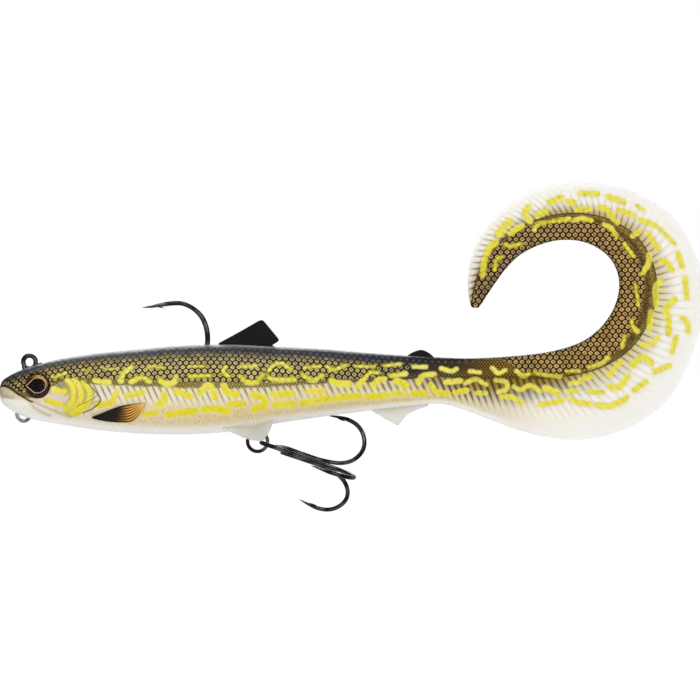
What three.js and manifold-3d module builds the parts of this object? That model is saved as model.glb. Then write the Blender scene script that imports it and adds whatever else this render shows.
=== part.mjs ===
// A large soft-bodied curl-tail swimbait, ready rigged: a cast body in flexible segments, a jig hook with its
// ballast, a chin loop, a belly hanger with split ring and treble hook, set-in eyes, and fins.
// Millimetres, +X from nose to tail, +Z up, the line-tie eye's centre at the origin.
import * as THREE from 'three';
import { mergeVertices } from 'three/addons/utils/BufferGeometryUtils.js';
import Module from 'manifold-3d';

const wasm = await Module();
wasm.setup();

// ---- Driving dimensions ----------------------------------------------------------------------------------

const CLEARANCE = 0.3; // gap between pieces that touch on the real lure
const JIG_WIRE = 1.6; // jig hook wire diameter
const TREBLE_WIRE = 1.5;
const LOOP_WIRE = 1.2; // chin loop and belly hanger wire diameter
const LINE_EYE_RADIUS = 2.13; // to the middle of the wire
const SHANK_Z = -7.1; // height of the jig hook's shank inside the body
const EYE = { x: 3.1, z: -8.15, radius: 4.2, irisDepth: 0.6, domeHeight: 1.3 };
const SPLIT_RING = { x: 78.2, z: -27.3, radius: 3.34, section: 1.2, turn: 0.56, pitch: 0.64 };
const HANGER_BAR_Z = SPLIT_RING.z + 1.75;
const TREBLE_DROOP = 18.7; // degrees below the horizontal at rest
const TREBLE_TURNS = [65, 185, 305]; // degrees of the three hooks about the treble's own axis
const SHANK_OFFSET = 1.04; // each treble shank's distance from that axis

// The lure's outline as stations from nose to tail tip: dorsal x, z, ventral x, z, and half width. Past the tail
// stem the back becomes the curl's inner edge, and the belly becomes its outer edge.
const STATIONS = [
  [-10.0, -8.4, -10.0, -12.0, 1.6],
  [-9.3, -6.6, -9.3, -14.2, 3.0],
  [-7.2, -5.0, -7.2, -16.0, 4.1],
  [-3.0, -2.9, -3.0, -18.3, 5.4],
  [3.0, -0.9, 3.0, -20.1, 6.6],
  [11.0, 1.0, 11.0, -21.5, 7.8],
  [22.0, 2.7, 22.0, -23.2, 8.9],
  [36.0, 4.1, 36.0, -24.5, 9.6],
  [52.0, 5.5, 52.0, -24.9, 9.8],
  [68.0, 5.9, 68.0, -24.0, 9.3],
  [84.0, 5.2, 84.0, -21.2, 8.2],
  [100.0, 4.4, 100.0, -18.9, 6.9],
  [116.0, 3.1, 116.0, -16.8, 5.5],
  [130.0, 2.1, 130.0, -15.2, 4.3],
  [141.0, 1.5, 141.0, -14.4, 3.6],
  [150.0, 1.2, 149.5, -16.6, 3.1],
  [159.0, 1.5, 158.0, -19.8, 2.8],
  [168.0, 2.2, 166.5, -23.0, 2.6],
  [176.0, 3.1, 177.0, -25.8, 2.5],
  [184.0, 4.9, 188.0, -26.8, 2.5],
  [190.5, 7.6, 200.0, -24.8, 2.5],
  [195.8, 11.8, 211.5, -19.2, 2.5],
  [199.6, 17.0, 221.0, -10.0, 2.5],
  [201.7, 22.5, 227.5, 3.5, 2.5],
  [202.1, 28.0, 230.9, 18.0, 2.4],
  [200.5, 33.2, 229.6, 33.0, 2.35],
  [197.2, 37.3, 222.0, 48.0, 2.3],
  [192.2, 40.3, 210.0, 57.0, 2.2],
  [186.5, 41.7, 197.0, 60.8, 2.1],
  [180.3, 41.5, 184.0, 61.2, 2.0],
  [174.0, 39.7, 172.0, 58.4, 1.9],
  [168.2, 36.6, 162.5, 52.4, 1.8],
  [163.2, 32.2, 155.3, 44.7, 1.65],
  [159.3, 27.2, 151.5, 36.2, 1.5],
  [156.4, 22.8, 150.4, 28.3, 1.3],
  [154.9, 20.4, 150.8, 22.6, 1.1],
  [153.6, 19.0, 152.0, 19.6, 0.7],
];
const LAST = STATIONS.length - 1;

// The soft body's segments: where each ends, in stations, and how far its joint bends each way, in degrees.
const SEGMENTS = [
  { name: 'trunk', from: 0, to: 11.5, bend: 15, steps: 22, color: 0x8a7a45 },
  { name: 'rear_body', from: 11.5, to: 14.3, bend: 20, steps: 6, color: 0x7d6f45 },
  { name: 'tail_stem', from: 14.3, to: 17, bend: 25, steps: 6, color: 0x7d6538 },
  { name: 'curl_lower', from: 17, to: 23.5, bend: 25, steps: 16, color: 0x8c6a30 },
  { name: 'curl_upper', from: 23.5, to: 29, bend: 25, steps: 14, color: 0x8c6a30 },
  { name: 'curl_tip', from: 29, to: LAST, bend: 0, steps: 14, color: 0x8c6a30 },
];
const SECTION_STEPS = 10; // quads from back to belly on each side
const FLATTEN = { from: 13, to: 18 }; // stations over which the round body becomes a flat blade
const BAND = 0.3; // share of the blade's width that is full thickness
const BAND_END = 0.52; // share at which the blade has thinned to its outer membrane
const MEMBRANE = 0.7; // half thickness of that membrane

// ---- Small helpers ---------------------------------------------------------------------------------------

const degrees = THREE.MathUtils.degToRad;
const clamp01 = (v) => Math.min(1, Math.max(0, v));
const smooth = (a, b, v) => {
  const t = clamp01((v - a) / (b - a));
  return t * t * (3 - 2 * t);
};

function material(color, roughness, metalness = 0) {
  return new THREE.MeshStandardMaterial({ color, roughness, metalness });
}

function indexed(vertices, triangles) {
  const geometry = new THREE.BufferGeometry();
  const positions = vertices.flatMap((v) => [v.x, v.y, v.z]);
  geometry.setAttribute('position', new THREE.Float32BufferAttribute(positions, 3));
  geometry.setIndex(triangles.flat());
  return geometry;
}

// A closed skin over a row of rings with the same number of points, with its ends closed by the given function.
function skin(rings, closeEnd) {
  const count = rings[0].length;
  const vertices = rings.flat();
  const triangles = [];
  for (let i = 0; i + 1 < rings.length; i++) {
    for (let j = 0; j < count; j++) {
      const a = i * count + j;
      const b = i * count + ((j + 1) % count);
      triangles.push([a, b, b + count], [a, b + count, a + count]);
    }
  }
  closeEnd(0, vertices, triangles, true);
  closeEnd((rings.length - 1) * count, vertices, triangles, false);
  return indexed(vertices, triangles);
}

function solid(geometry) {
  const bare = geometry.clone();
  bare.deleteAttribute('normal');
  bare.deleteAttribute('uv');
  const merged = mergeVertices(bare, 1e-4);
  return new wasm.Manifold(new wasm.Mesh({
    numProp: 3,
    vertProperties: new Float32Array(merged.attributes.position.array),
    triVerts: new Uint32Array(merged.index.array),
  }));
}

function geometryOf(manifold) {
  const mesh = manifold.getMesh();
  const geometry = new THREE.BufferGeometry();
  geometry.setAttribute('position', new THREE.BufferAttribute(mesh.vertProperties, 3));
  geometry.setIndex(new THREE.BufferAttribute(mesh.triVerts, 1));
  return geometry;
}

function cut(geometry, ...tools) {
  return geometryOf(tools.reduce((left, tool) => left.subtract(solid(tool)), solid(geometry)));
}

function join(...geometries) {
  return geometryOf(geometries.map(solid).reduce((all, next) => all.add(next)));
}

// ---- The body's surface ----------------------------------------------------------------------------------

// One column of the station table at a fractional station, as a Catmull-Rom spline.
function column(s, k) {
  const i = Math.min(LAST - 1, Math.max(0, Math.floor(s)));
  const f = s - i;
  const at = (n) => {
    if (n < 0) return 2 * STATIONS[0][k] - STATIONS[1][k];
    if (n > LAST) return 2 * STATIONS[LAST][k] - STATIONS[LAST - 1][k];
    return STATIONS[n][k];
  };
  const [a, b, c, d] = [at(i - 1), at(i), at(i + 1), at(i + 2)];
  return b + 0.5 * f * (c - a + f * (2 * a - 5 * b + 4 * c - d + f * (3 * (b - c) + d - a)));
}

const dorsal = (s) => new THREE.Vector3(column(s, 0), 0, column(s, 1));
const ventral = (s) => new THREE.Vector3(column(s, 2), 0, column(s, 3));

// Half the thickness at station s and share t of the way from back to belly.
function halfThickness(s, t) {
  const width = column(s, 4);
  const round = Math.pow(Math.max(0, 1 - Math.pow(Math.abs(2 * t - 1), 2.2)), 0.5);
  const tipWard = smooth(31, 35, s);
  const bandEnd = BAND_END + (1 - BAND_END) * tipWard;
  const membrane = Math.min(MEMBRANE, width);
  const plateau = membrane + (width - membrane) * (1 - smooth(BAND + 0.3 * tipWard, bandEnd, t));
  const innerEdge = Math.sqrt(clamp01(1 - Math.pow(1 - clamp01(t / 0.1), 2)));
  const outerEdge = Math.sqrt(clamp01(1 - Math.pow(1 - clamp01((1 - t) / 0.03), 2)));
  const blade = plateau * innerEdge * outerEdge;
  const flat = smooth(FLATTEN.from, FLATTEN.to, s);
  return width * round * (1 - flat) + blade * flat;
}

function stationAtX(x) {
  let [low, high] = [0, 14];
  while (high - low > 1e-4) {
    const middle = (low + high) / 2;
    if (column(middle, 0) < x) low = middle;
    else high = middle;
  }
  return low;
}

// Height of the body's underside at x and sideways distance y.
function undersideZ(x, y) {
  const s = stationAtX(x);
  let [low, high] = [0.5, 1];
  while (high - low > 1e-4) {
    const middle = (low + high) / 2;
    if (halfThickness(s, middle) > Math.abs(y)) low = middle;
    else high = middle;
  }
  return THREE.MathUtils.lerp(column(s, 1), column(s, 3), low);
}

const flankY = (x, z) => {
  const s = stationAtX(x);
  return halfThickness(s, clamp01((column(s, 1) - z) / (column(s, 1) - column(s, 3))));
};

// Shares of the way from back to belly, closer together at the two edges.
const SHARES = Array.from({ length: SECTION_STEPS + 1 }, (_, j) => 0.5 * (1 - Math.cos((Math.PI * j) / SECTION_STEPS)));

// One ring of a segment. pull moves it along the body, and flare moves its sides further, which leaves room to bend.
function bodyRing(s, pull, flare) {
  const [top, bottom] = [dorsal(s), ventral(s)];
  const ahead = dorsal(Math.min(LAST, s + 0.05)).add(ventral(Math.min(LAST, s + 0.05)));
  const behind = dorsal(Math.max(0, s - 0.05)).add(ventral(Math.max(0, s - 0.05)));
  const along = ahead.sub(behind).normalize();
  const at = (t, side) => {
    const y = halfThickness(s, t) * side;
    return top.clone().lerp(bottom, t).add(new THREE.Vector3(0, y, 0)).addScaledVector(along, pull + flare * Math.abs(y));
  };
  const left = SHARES.map((t) => at(t, -1));
  const right = SHARES.slice(1, -1).reverse().map((t) => at(t, 1));
  const middle = SHARES.slice(1, -1).map((t) => at(t, 0));
  return { ring: [...left, ...right], middle };
}

// A segment's end is a shallow roof whose ridge runs down the middle, so the next segment can swing to either side.
function roofEnd(middles) {
  return (first, vertices, triangles, isStart) => {
    const middle = isStart ? middles[0] : middles[1];
    const base = vertices.length;
    vertices.push(...middle);
    const n = SECTION_STEPS;
    const ridge = (j) => (j === 0 ? first : j === n ? first + n : base + j - 1);
    const left = (j) => first + j;
    const right = (j) => (j === 0 ? first : j === n ? first + n : first + 2 * n - j);
    const add = (a, b, c) => {
      if (a !== b && b !== c && a !== c) triangles.push(isStart ? [a, c, b] : [a, b, c]);
    };
    for (let j = 0; j < n; j++) {
      add(left(j), left(j + 1), ridge(j + 1));
      add(left(j), ridge(j + 1), ridge(j));
      add(ridge(j), ridge(j + 1), right(j + 1));
      add(ridge(j), right(j + 1), right(j));
    }
  };
}

function segmentGeometry(index) {
  const segment = SEGMENTS[index];
  const bendBefore = index ? SEGMENTS[index - 1].bend : 0;
  const slope = (bend) => (bend ? Math.tan(degrees(bend / 2 + 2)) : 0);
  const rings = [];
  for (let i = 0; i <= segment.steps; i++) {
    const s = THREE.MathUtils.lerp(segment.from, segment.to, i / segment.steps);
    if (i === 0 && bendBefore) rings.push(bodyRing(s, CLEARANCE / 2, slope(bendBefore)));
    else if (i === segment.steps && segment.bend) rings.push(bodyRing(s, -CLEARANCE / 2, -slope(segment.bend)));
    else rings.push(bodyRing(s, 0, 0));
  }
  const middles = [rings[0].middle, rings[rings.length - 1].middle];
  return skin(rings.map((r) => r.ring), roofEnd(middles));
}

// ---- Wires -----------------------------------------------------------------------------------------------

const fanEnd = (count) => (first, vertices, triangles, isStart) => {
  const centre = new THREE.Vector3();
  for (let j = 0; j < count; j++) centre.addScaledVector(vertices[first + j], 1 / count);
  vertices.push(centre);
  for (let j = 0; j < count; j++) {
    const [a, b] = [first + j, first + ((j + 1) % count)];
    triangles.push(isStart ? [vertices.length - 1, b, a] : [vertices.length - 1, a, b]);
  }
};

// A round or flat wire along a list of points. radiusAt gives the radius at a share of its length, and flat is the
// section's second half width where the wire is not round.
function wire(points, radiusAt, sides = 8, flat = null) {
  let side = new THREE.Vector3(0, 1, 0);
  const rings = points.map((point, i) => {
    const before = points[Math.max(0, i - 1)];
    const after = points[Math.min(points.length - 1, i + 1)];
    const along = after.clone().sub(before).normalize();
    side = side.addScaledVector(along, -side.dot(along)).normalize();
    const across = new THREE.Vector3().crossVectors(along, side);
    const radius = radiusAt(i / (points.length - 1));
    return Array.from({ length: sides }, (_, j) => {
      const angle = (2 * Math.PI * (j + 0.5)) / sides;
      return point.clone()
        .addScaledVector(side, (flat ?? radius) * Math.cos(angle))
        .addScaledVector(across, radius * Math.sin(angle));
    });
  });
  return skin(rings, fanEnd(sides));
}

function spline(points, steps) {
  return new THREE.CatmullRomCurve3(points, false, 'centripetal').getSpacedPoints(steps);
}

function arc(centre, radius, fromDegrees, toDegrees, steps) {
  return Array.from({ length: steps + 1 }, (_, i) => {
    const angle = degrees(THREE.MathUtils.lerp(fromDegrees, toDegrees, i / steps));
    return new THREE.Vector3(centre.x + radius * Math.cos(angle), centre.y, centre.z + radius * Math.sin(angle));
  });
}

// The same path with both its ends moved outward, for cutting a wire's seat with room at its ends.
function lengthened(points, by) {
  const last = points.length - 1;
  const moved = (end, next) => end.clone().add(end.clone().sub(next).setLength(by));
  return [moved(points[0], points[1]), ...points.slice(1, -1), moved(points[last], points[last - 1])];
}

const flatPoint = (x, z) => new THREE.Vector3(x, 0, z);

// A sharp point: full radius until taper is left, then down to almost nothing.
const pointed = (radius, taper) => (share) => radius * Math.max(0.08, Math.min(1, (1 - share) / taper));

// The barb: a small cone whose base is inside the wire and whose tip leans back from the hook's point.
function barb(base, direction, length, radius) {
  const cone = new THREE.ConeGeometry(radius, length, 6).translate(0, length / 2, 0);
  const turn = new THREE.Quaternion().setFromUnitVectors(new THREE.Vector3(0, 1, 0), direction.clone().normalize());
  return cone.applyQuaternion(turn).translate(base.x, base.y, base.z);
}

// ---- The jig hook, ballast, chin loop and belly hanger ---------------------------------------------------

// From the cut end beside the line-tie eye, round the eye, down into the head, back along the body, and up out of
// the back to the point.
function jigHookPath() {
  const eyeEnd = [flatPoint(4.3, -0.9), flatPoint(3.3, -1.15), flatPoint(2.45, -1.1)];
  const eye = arc(flatPoint(0, 0), LINE_EYE_RADIUS, -15, 205, 18);
  const neck = [flatPoint(-1.75, -2.2), flatPoint(-1.3, -3.9), flatPoint(-0.2, -5.5), flatPoint(1.6, -6.7)];
  const shank = [flatPoint(4.2, SHANK_Z), flatPoint(46, SHANK_Z)];
  const bend = arc(flatPoint(46, SHANK_Z + 15.1), 15.1, -82, 0, 9);
  const over = [[60.6, 11.8], [58.9, 15.6], [55.8, 18.5], [52.3, 20.0], [48.9, 20.05], [45.4, 19.6], [42, 18.95]]
    .map(([x, z]) => flatPoint(x, z));
  const rise = [...bend, ...over, flatPoint(38.7, 18.6)];
  return [...eyeEnd, ...eye, ...spline([...neck, shank[0]], 5), ...spline([shank[1], ...rise], 34)];
}

function jigHook(extra = 0) {
  if (extra) return wire(lengthened(jigHookPath(), extra), () => JIG_WIRE / 2 + extra, 8);
  const tube = wire(jigHookPath(), pointed(JIG_WIRE / 2, 0.14), 8);
  return join(tube, barb(flatPoint(45.4, 19.0), new THREE.Vector3(1, 0, -0.75), 1.7, 0.35));
}

// Lead cast round the shank, as a torpedo under the back.
function ballast(extra = 0) {
  const profile = [[0, -1], [3.0, -0.86], [4.3, -0.5], [4.8, 0], [4.6, 0.4], [3.2, 0.8], [0, 1]];
  const halfLength = 15.5;
  const outline = profile.map(([r, share]) => new THREE.Vector2(r ? r + extra : 0, share * (halfLength + extra)));
  const body = new THREE.LatheGeometry(outline, 16);
  return body.rotateZ(-Math.PI / 2).scale(1, 0.9, 1.05).translate(24, 0, SHANK_Z - 2.2);
}

// A wire whose two legs end in the ballast's nose and whose eye hangs under the chin.
function chinLoop(extra = 0) {
  const centre = flatPoint(-2.0, -18.0);
  const points = [
    flatPoint(13, -11.2), flatPoint(8, -12.6), flatPoint(3.4, -14.6), flatPoint(0.6, -16.6),
    ...arc(centre, 2.3, 0, -180, 8).slice(1),
    flatPoint(-3.7, -16.2), flatPoint(-1.4, -14.2), flatPoint(3.0, -12.0), flatPoint(8, -10.0), flatPoint(13, -8.9),
  ];
  return wire(lengthened(spline(points, 44), extra), () => LOOP_WIRE / 2 + extra, 8);
}

// A wire from the ballast's tail along the belly. Its end is turned into an eye whose bar lies across the body.
function bellyHanger(extra = 0) {
  const { x } = SPLIT_RING;
  const bar = HANGER_BAR_Z;
  const points = [
    [33, 0, -11.5], [42, 0, -14.2], [54, 0, -17.2], [66, 0, -19.2], [73, 0.4, -20.2],
    [x - 1.6, 1.7, bar + 4.2], [x - 0.3, 2.35, bar + 2.6], [x, 1.9, bar + 0.7], [x, 0, bar],
    [x, -1.9, bar + 0.7], [x - 0.1, -2.35, bar + 2.6], [x - 0.4, -1.5, bar + 4.3], [x - 0.4, -0.1, bar + 4.9],
  ].map(([px, py, pz]) => new THREE.Vector3(px, py, pz));
  return wire(lengthened(spline(points, 52), extra), () => LOOP_WIRE / 2 + extra, 8);
}

// Two turns of flat wire, wound against each other.
function splitRing() {
  const { x, z, radius, section, turn, pitch } = SPLIT_RING;
  const steps = 48;
  const points = Array.from({ length: steps + 1 }, (_, i) => {
    const angle = degrees(60 + 708 * (i / steps));
    const y = pitch * (708 / 360) * (i / steps - 0.5);
    return new THREE.Vector3(x + radius * Math.cos(angle), y, z + radius * Math.sin(angle));
  });
  const corner = Math.SQRT2 / 2;
  return wire(points, () => (section / 2) / corner, 4, (turn / 2) / corner);
}

// ---- The treble hook -------------------------------------------------------------------------------------

const TREBLE_AXIS = new THREE.Vector3(Math.cos(degrees(TREBLE_DROOP)), 0, -Math.sin(degrees(TREBLE_DROOP)));
const TREBLE_UP = new THREE.Vector3(Math.sin(degrees(TREBLE_DROOP)), 0, Math.cos(degrees(TREBLE_DROOP)));

// A point of the treble: along its axis from the split ring's centre, and upward and sideways from that axis.
function treblePoint(along, up, sideways) {
  return new THREE.Vector3(SPLIT_RING.x, 0, SPLIT_RING.z)
    .addScaledVector(TREBLE_AXIS, along)
    .addScaledVector(TREBLE_UP, up)
    .add(new THREE.Vector3(0, sideways, 0));
}

// One hook's bend in its own plane, as distance along the axis and out from it, from shank to point.
const BEND = [
  [22, SHANK_OFFSET], [25.5, 1.4], [29, 2.2], [32.2, 4.0], [34.4, 6.9], [35.2, 10.0], [34.7, 13.0], [33.0, 15.9],
  [30.4, 17.9], [27, 18.7], [23.4, 18.4], [20, 17.7],
];

function hookArm(turn) {
  const [up, sideways] = [Math.sin(degrees(turn)), Math.cos(degrees(turn))];
  return BEND.map(([along, out]) => treblePoint(along, out * up, out * sideways));
}

function shankPoint(turn, along) {
  return treblePoint(along, SHANK_OFFSET * Math.sin(degrees(turn)), SHANK_OFFSET * Math.cos(degrees(turn)));
}

function trebleBarb(turn) {
  const [up, sideways] = [Math.sin(degrees(turn)), Math.cos(degrees(turn))];
  const base = treblePoint(23.6, 18.1 * up, 18.1 * sideways);
  const back = treblePoint(25.0, 17.2 * up, 17.2 * sideways).sub(base);
  return barb(base, back, 1.6, 0.35);
}

// One wire bent in the middle: the eye lies round the split ring, and each end is a hook.
function trebleHookPair() {
  const [first, second] = TREBLE_TURNS;
  const eye = [[6.6, 0.3, 1.0], [5.2, 0, 1.75], [3.6, 0, 2.05], [2.0, 0, 1.5], [1.4, 0, 0], [2.0, 0, -1.5],
    [3.6, 0, -2.05], [5.2, 0, -1.75], [6.6, 0, -1.1]].map(([a, up, y]) => treblePoint(a, up, y));
  const points = [
    ...hookArm(first).reverse(), shankPoint(first, 15), shankPoint(first, 9.5), ...eye,
    shankPoint(second, 9.5), shankPoint(second, 15), ...hookArm(second),
  ];
  const taper = 0.075;
  const radius = (share) => (TREBLE_WIRE / 2) * Math.max(0.08, Math.min(1, share / taper, (1 - share) / taper));
  return join(wire(spline(points, 92), radius, 8), trebleBarb(first), trebleBarb(second));
}

// The third hook lies in the groove between the pair's shanks, where it is brazed.
function trebleHookThird() {
  const third = TREBLE_TURNS[2];
  const points = [shankPoint(third, 9.8), shankPoint(third, 15), ...hookArm(third)];
  return join(wire(spline(points, 44), pointed(TREBLE_WIRE / 2, 0.14), 8), trebleBarb(third));
}

// ---- Fins ------------------------------------------------------------------------------------------------

// A closed outline in x and z, each corner given with its radius.
function outlineShape(corners) {
  const shape = new THREE.Shape();
  corners.forEach(([x, z, r], i) => {
    const here = new THREE.Vector2(x, z);
    const before = new THREE.Vector2(...corners[(i + corners.length - 1) % corners.length]).sub(here);
    const after = new THREE.Vector2(...corners[(i + 1) % corners.length]).sub(here);
    const start = here.clone().addScaledVector(before.normalize(), r);
    const end = here.clone().addScaledVector(after.normalize(), r);
    if (i === 0) shape.moveTo(start.x, start.y);
    else shape.lineTo(start.x, start.y);
    if (r) shape.quadraticCurveTo(here.x, here.y, end.x, end.y);
  });
  shape.closePath();
  return shape;
}

// A flat fin of that outline, standing in the plane y = 0.
function plate(corners, thickness) {
  const options = { depth: thickness, bevelEnabled: false, curveSegments: 3 };
  const geometry = new THREE.ExtrudeGeometry(outlineShape(corners), options);
  return geometry.rotateX(Math.PI / 2).translate(0, thickness / 2, 0);
}

const DORSAL_FIN = [[65.4, 6.7, 0.3], [79.4, 14.4, 1.3], [85.4, 7.2, 1.1], [83.6, 5.95, 0.2]];
const ADIPOSE_FIN = [[130.2, 2.65, 0.1], [134.3, 4.4, 1.4], [138.2, 2.15, 0.1]];
const ANAL_FIN = [[117.5, -17.3, 0.1], [125.6, -21.9, 0.5], [128.0, -19.6, 1.2], [135.9, -15.5, 0.1]];

// Each pelvic fin hangs from the belly's edge and leans outward. Its top edge follows the belly.
const PELVIC = { y: 4.4, lean: 14, thickness: 0.9, front: 66.5, rear: 83.0, frontGap: 0.55, rearGap: 1.25 };

function pelvicRoot(x) {
  const { y, front, rear, frontGap, rearGap } = PELVIC;
  return undersideZ(x, y) - THREE.MathUtils.mapLinear(x, front, rear, frontGap, rearGap);
}

function pelvicFin() {
  const { front, rear, thickness } = PELVIC;
  const drop = (x, z) => [x, z, 0.4];
  const corners = [
    [front, pelvicRoot(front), 0.1], drop(75.1, -26.7), drop(79.8, -27.1), drop(81.2, -25.6),
    [rear, pelvicRoot(rear), 0.1], [(front + rear) / 2, pelvicRoot((front + rear) / 2) - 0.25, 0],
  ];
  return plate(corners, thickness);
}

// The pectoral fin lies against the flank behind the gill cover. Its edges run between an upper and a lower curve.
const PECTORAL = { from: 22.0, to: 40.0, thickness: 0.8, steps: 10, rows: 3 };

function pectoralFin(side) {
  const { from, to, thickness, steps, rows } = PECTORAL;
  const upper = (k) => THREE.MathUtils.lerp(-19.0, -13.9, k);
  const lower = (k) => -19.6 - 1.1 * Math.sin(Math.PI * Math.min(1, k * 1.25)) + 5.2 * Math.pow(smooth(0.62, 1, k), 1.3);
  const rings = Array.from({ length: steps + 1 }, (_, i) => {
    const k = i / steps;
    const x = THREE.MathUtils.lerp(from, to, k);
    const rise = THREE.MathUtils.lerp(CLEARANCE, CLEARANCE + 0.5, k);
    const at = (row, offset) => {
      const z = THREE.MathUtils.lerp(upper(k), Math.min(upper(k) - 0.5, lower(k)), row / rows);
      return new THREE.Vector3(x, side * (flankY(x, z) + rise + offset), z);
    };
    const inner = Array.from({ length: rows + 1 }, (_, row) => at(row, 0.1));
    const outer = Array.from({ length: rows + 1 }, (_, row) => at(row, thickness)).reverse();
    return side > 0 ? [...inner, ...outer] : [...outer, ...inner].reverse();
  });
  return skin(rings, fanEnd(2 * (rows + 1)));
}

// ---- Eyes ------------------------------------------------------------------------------------------------

// The eye's axis stands square to the cheek.
function eyePlacement(side) {
  const axis = new THREE.Vector3(-0.17, side, 0.1).normalize();
  const turn = new THREE.Quaternion().setFromUnitVectors(new THREE.Vector3(0, 1, 0), axis);
  const seat = new THREE.Vector3(EYE.x, side * (flankY(EYE.x, EYE.z) - 1.0), EYE.z);
  return new THREE.Matrix4().compose(seat, turn, new THREE.Vector3(1, 1, 1));
}

const eyeSocket = (side) => new THREE.CylinderGeometry(EYE.radius + CLEARANCE, EYE.radius + CLEARANCE, 8, 24)
  .translate(0, 4 - CLEARANCE, 0).applyMatrix4(eyePlacement(side));

const eyeIris = (side) => new THREE.CylinderGeometry(EYE.radius, EYE.radius, EYE.irisDepth, 24)
  .translate(0, EYE.irisDepth / 2, 0).applyMatrix4(eyePlacement(side));

function eyeDome(side) {
  const rim = 0.35;
  const profile = [[0, 0], [EYE.radius, 0], [EYE.radius, rim]];
  for (const share of [0.8, 0.55, 0.28, 0]) {
    profile.push([EYE.radius * share, rim + (EYE.domeHeight - rim) * Math.sqrt(1 - share * share)]);
  }
  const outline = profile.map(([r, h]) => new THREE.Vector2(r, h));
  return new THREE.LatheGeometry(outline, 24)
    .translate(0, EYE.irisDepth + CLEARANCE / 2, 0).applyMatrix4(eyePlacement(side));
}

// ---- Assembly --------------------------------------------------------------------------------------------

const root = new THREE.Group();
const place = (name, geometry, finish) => {
  const mesh = new THREE.Mesh(geometry, finish);
  mesh.name = name;
  root.add(mesh);
  return mesh;
};

const softTail = (color) => material(color, 0.35);
const blackFin = material(0x0b0b0c, 0.55);
const clearFin = material(0xe9e4d6, 0.4);
const hookSteel = material(0x3a3a3c, 0.3, 1);
const ringSteel = material(0x8e8d88, 0.3, 1);
const lead = material(0x6c6e72, 0.6, 1);

SEGMENTS.forEach((segment, index) => {
  let geometry = segmentGeometry(index);
  if (segment.name === 'trunk') {
    geometry = cut(
      geometry, jigHook(CLEARANCE), ballast(CLEARANCE), chinLoop(CLEARANCE), bellyHanger(CLEARANCE),
      eyeSocket(1), eyeSocket(-1),
    );
  }
  place(segment.name, geometry, softTail(segment.color));
});

place('jig_hook', jigHook(), hookSteel);
place('ballast_weight', cut(ballast(), jigHook(CLEARANCE), chinLoop(CLEARANCE), bellyHanger(CLEARANCE)), lead);
place('chin_loop', chinLoop(), ringSteel);
place('belly_hanger', bellyHanger(), ringSteel);
place('split_ring', splitRing(), hookSteel);
place('treble_hook_pair', trebleHookPair(), hookSteel);
place('treble_hook_third', trebleHookThird(), hookSteel);

place('dorsal_fin', plate(DORSAL_FIN, 1.5), blackFin);
place('adipose_fin', plate(ADIPOSE_FIN, 1.2), blackFin);
place('anal_fin', plate(ANAL_FIN, 1.1), clearFin);

for (const [word, side] of [['left', -1], ['right', 1]]) {
  place(`pectoral_fin_${word}`, pectoralFin(side), material(0xb46a1c, 0.4));
  place(`eye_iris_${word}`, eyeIris(side), material(0x3a1c0c, 0.3));
  place(`eye_dome_${word}`, eyeDome(side), material(0xf4f4f0, 0.05));

  const hinge = new THREE.Group();
  hinge.position.set(0, side * PELVIC.y, pelvicRoot(PELVIC.front));
  hinge.rotation.x = side * degrees(PELVIC.lean);
  const fin = place(`pelvic_fin_${word}`, pelvicFin().translate(0, 0, -pelvicRoot(PELVIC.front)), clearFin);
  hinge.add(fin);
  root.add(hinge);
}

export default root;
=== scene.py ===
"""The swimbait's looks: a painted soft skin over the CAD segments, wires, fins, eyes, and a small studio.

All tables are in millimetres in the row frame: x from nose to tail, z from belly to back.
"""
import math

import bpy
import numpy as np
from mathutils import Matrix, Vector


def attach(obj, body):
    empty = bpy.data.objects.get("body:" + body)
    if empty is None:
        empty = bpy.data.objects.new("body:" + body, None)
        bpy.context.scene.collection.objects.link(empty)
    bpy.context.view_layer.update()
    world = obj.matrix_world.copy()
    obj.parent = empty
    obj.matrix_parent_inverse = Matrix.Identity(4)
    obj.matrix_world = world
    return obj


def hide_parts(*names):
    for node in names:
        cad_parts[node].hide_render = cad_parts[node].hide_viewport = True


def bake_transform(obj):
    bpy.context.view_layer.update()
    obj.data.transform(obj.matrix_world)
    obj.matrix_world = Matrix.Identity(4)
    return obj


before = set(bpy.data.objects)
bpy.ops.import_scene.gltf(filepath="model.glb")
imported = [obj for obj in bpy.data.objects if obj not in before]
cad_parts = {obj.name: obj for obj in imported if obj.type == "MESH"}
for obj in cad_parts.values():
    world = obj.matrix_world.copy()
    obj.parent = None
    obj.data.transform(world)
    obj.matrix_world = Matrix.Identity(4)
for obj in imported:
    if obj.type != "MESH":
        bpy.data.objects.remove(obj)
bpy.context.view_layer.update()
MM = 0.001

# ---- The body's outline ---------------------------------------------------------------------------------

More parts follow.
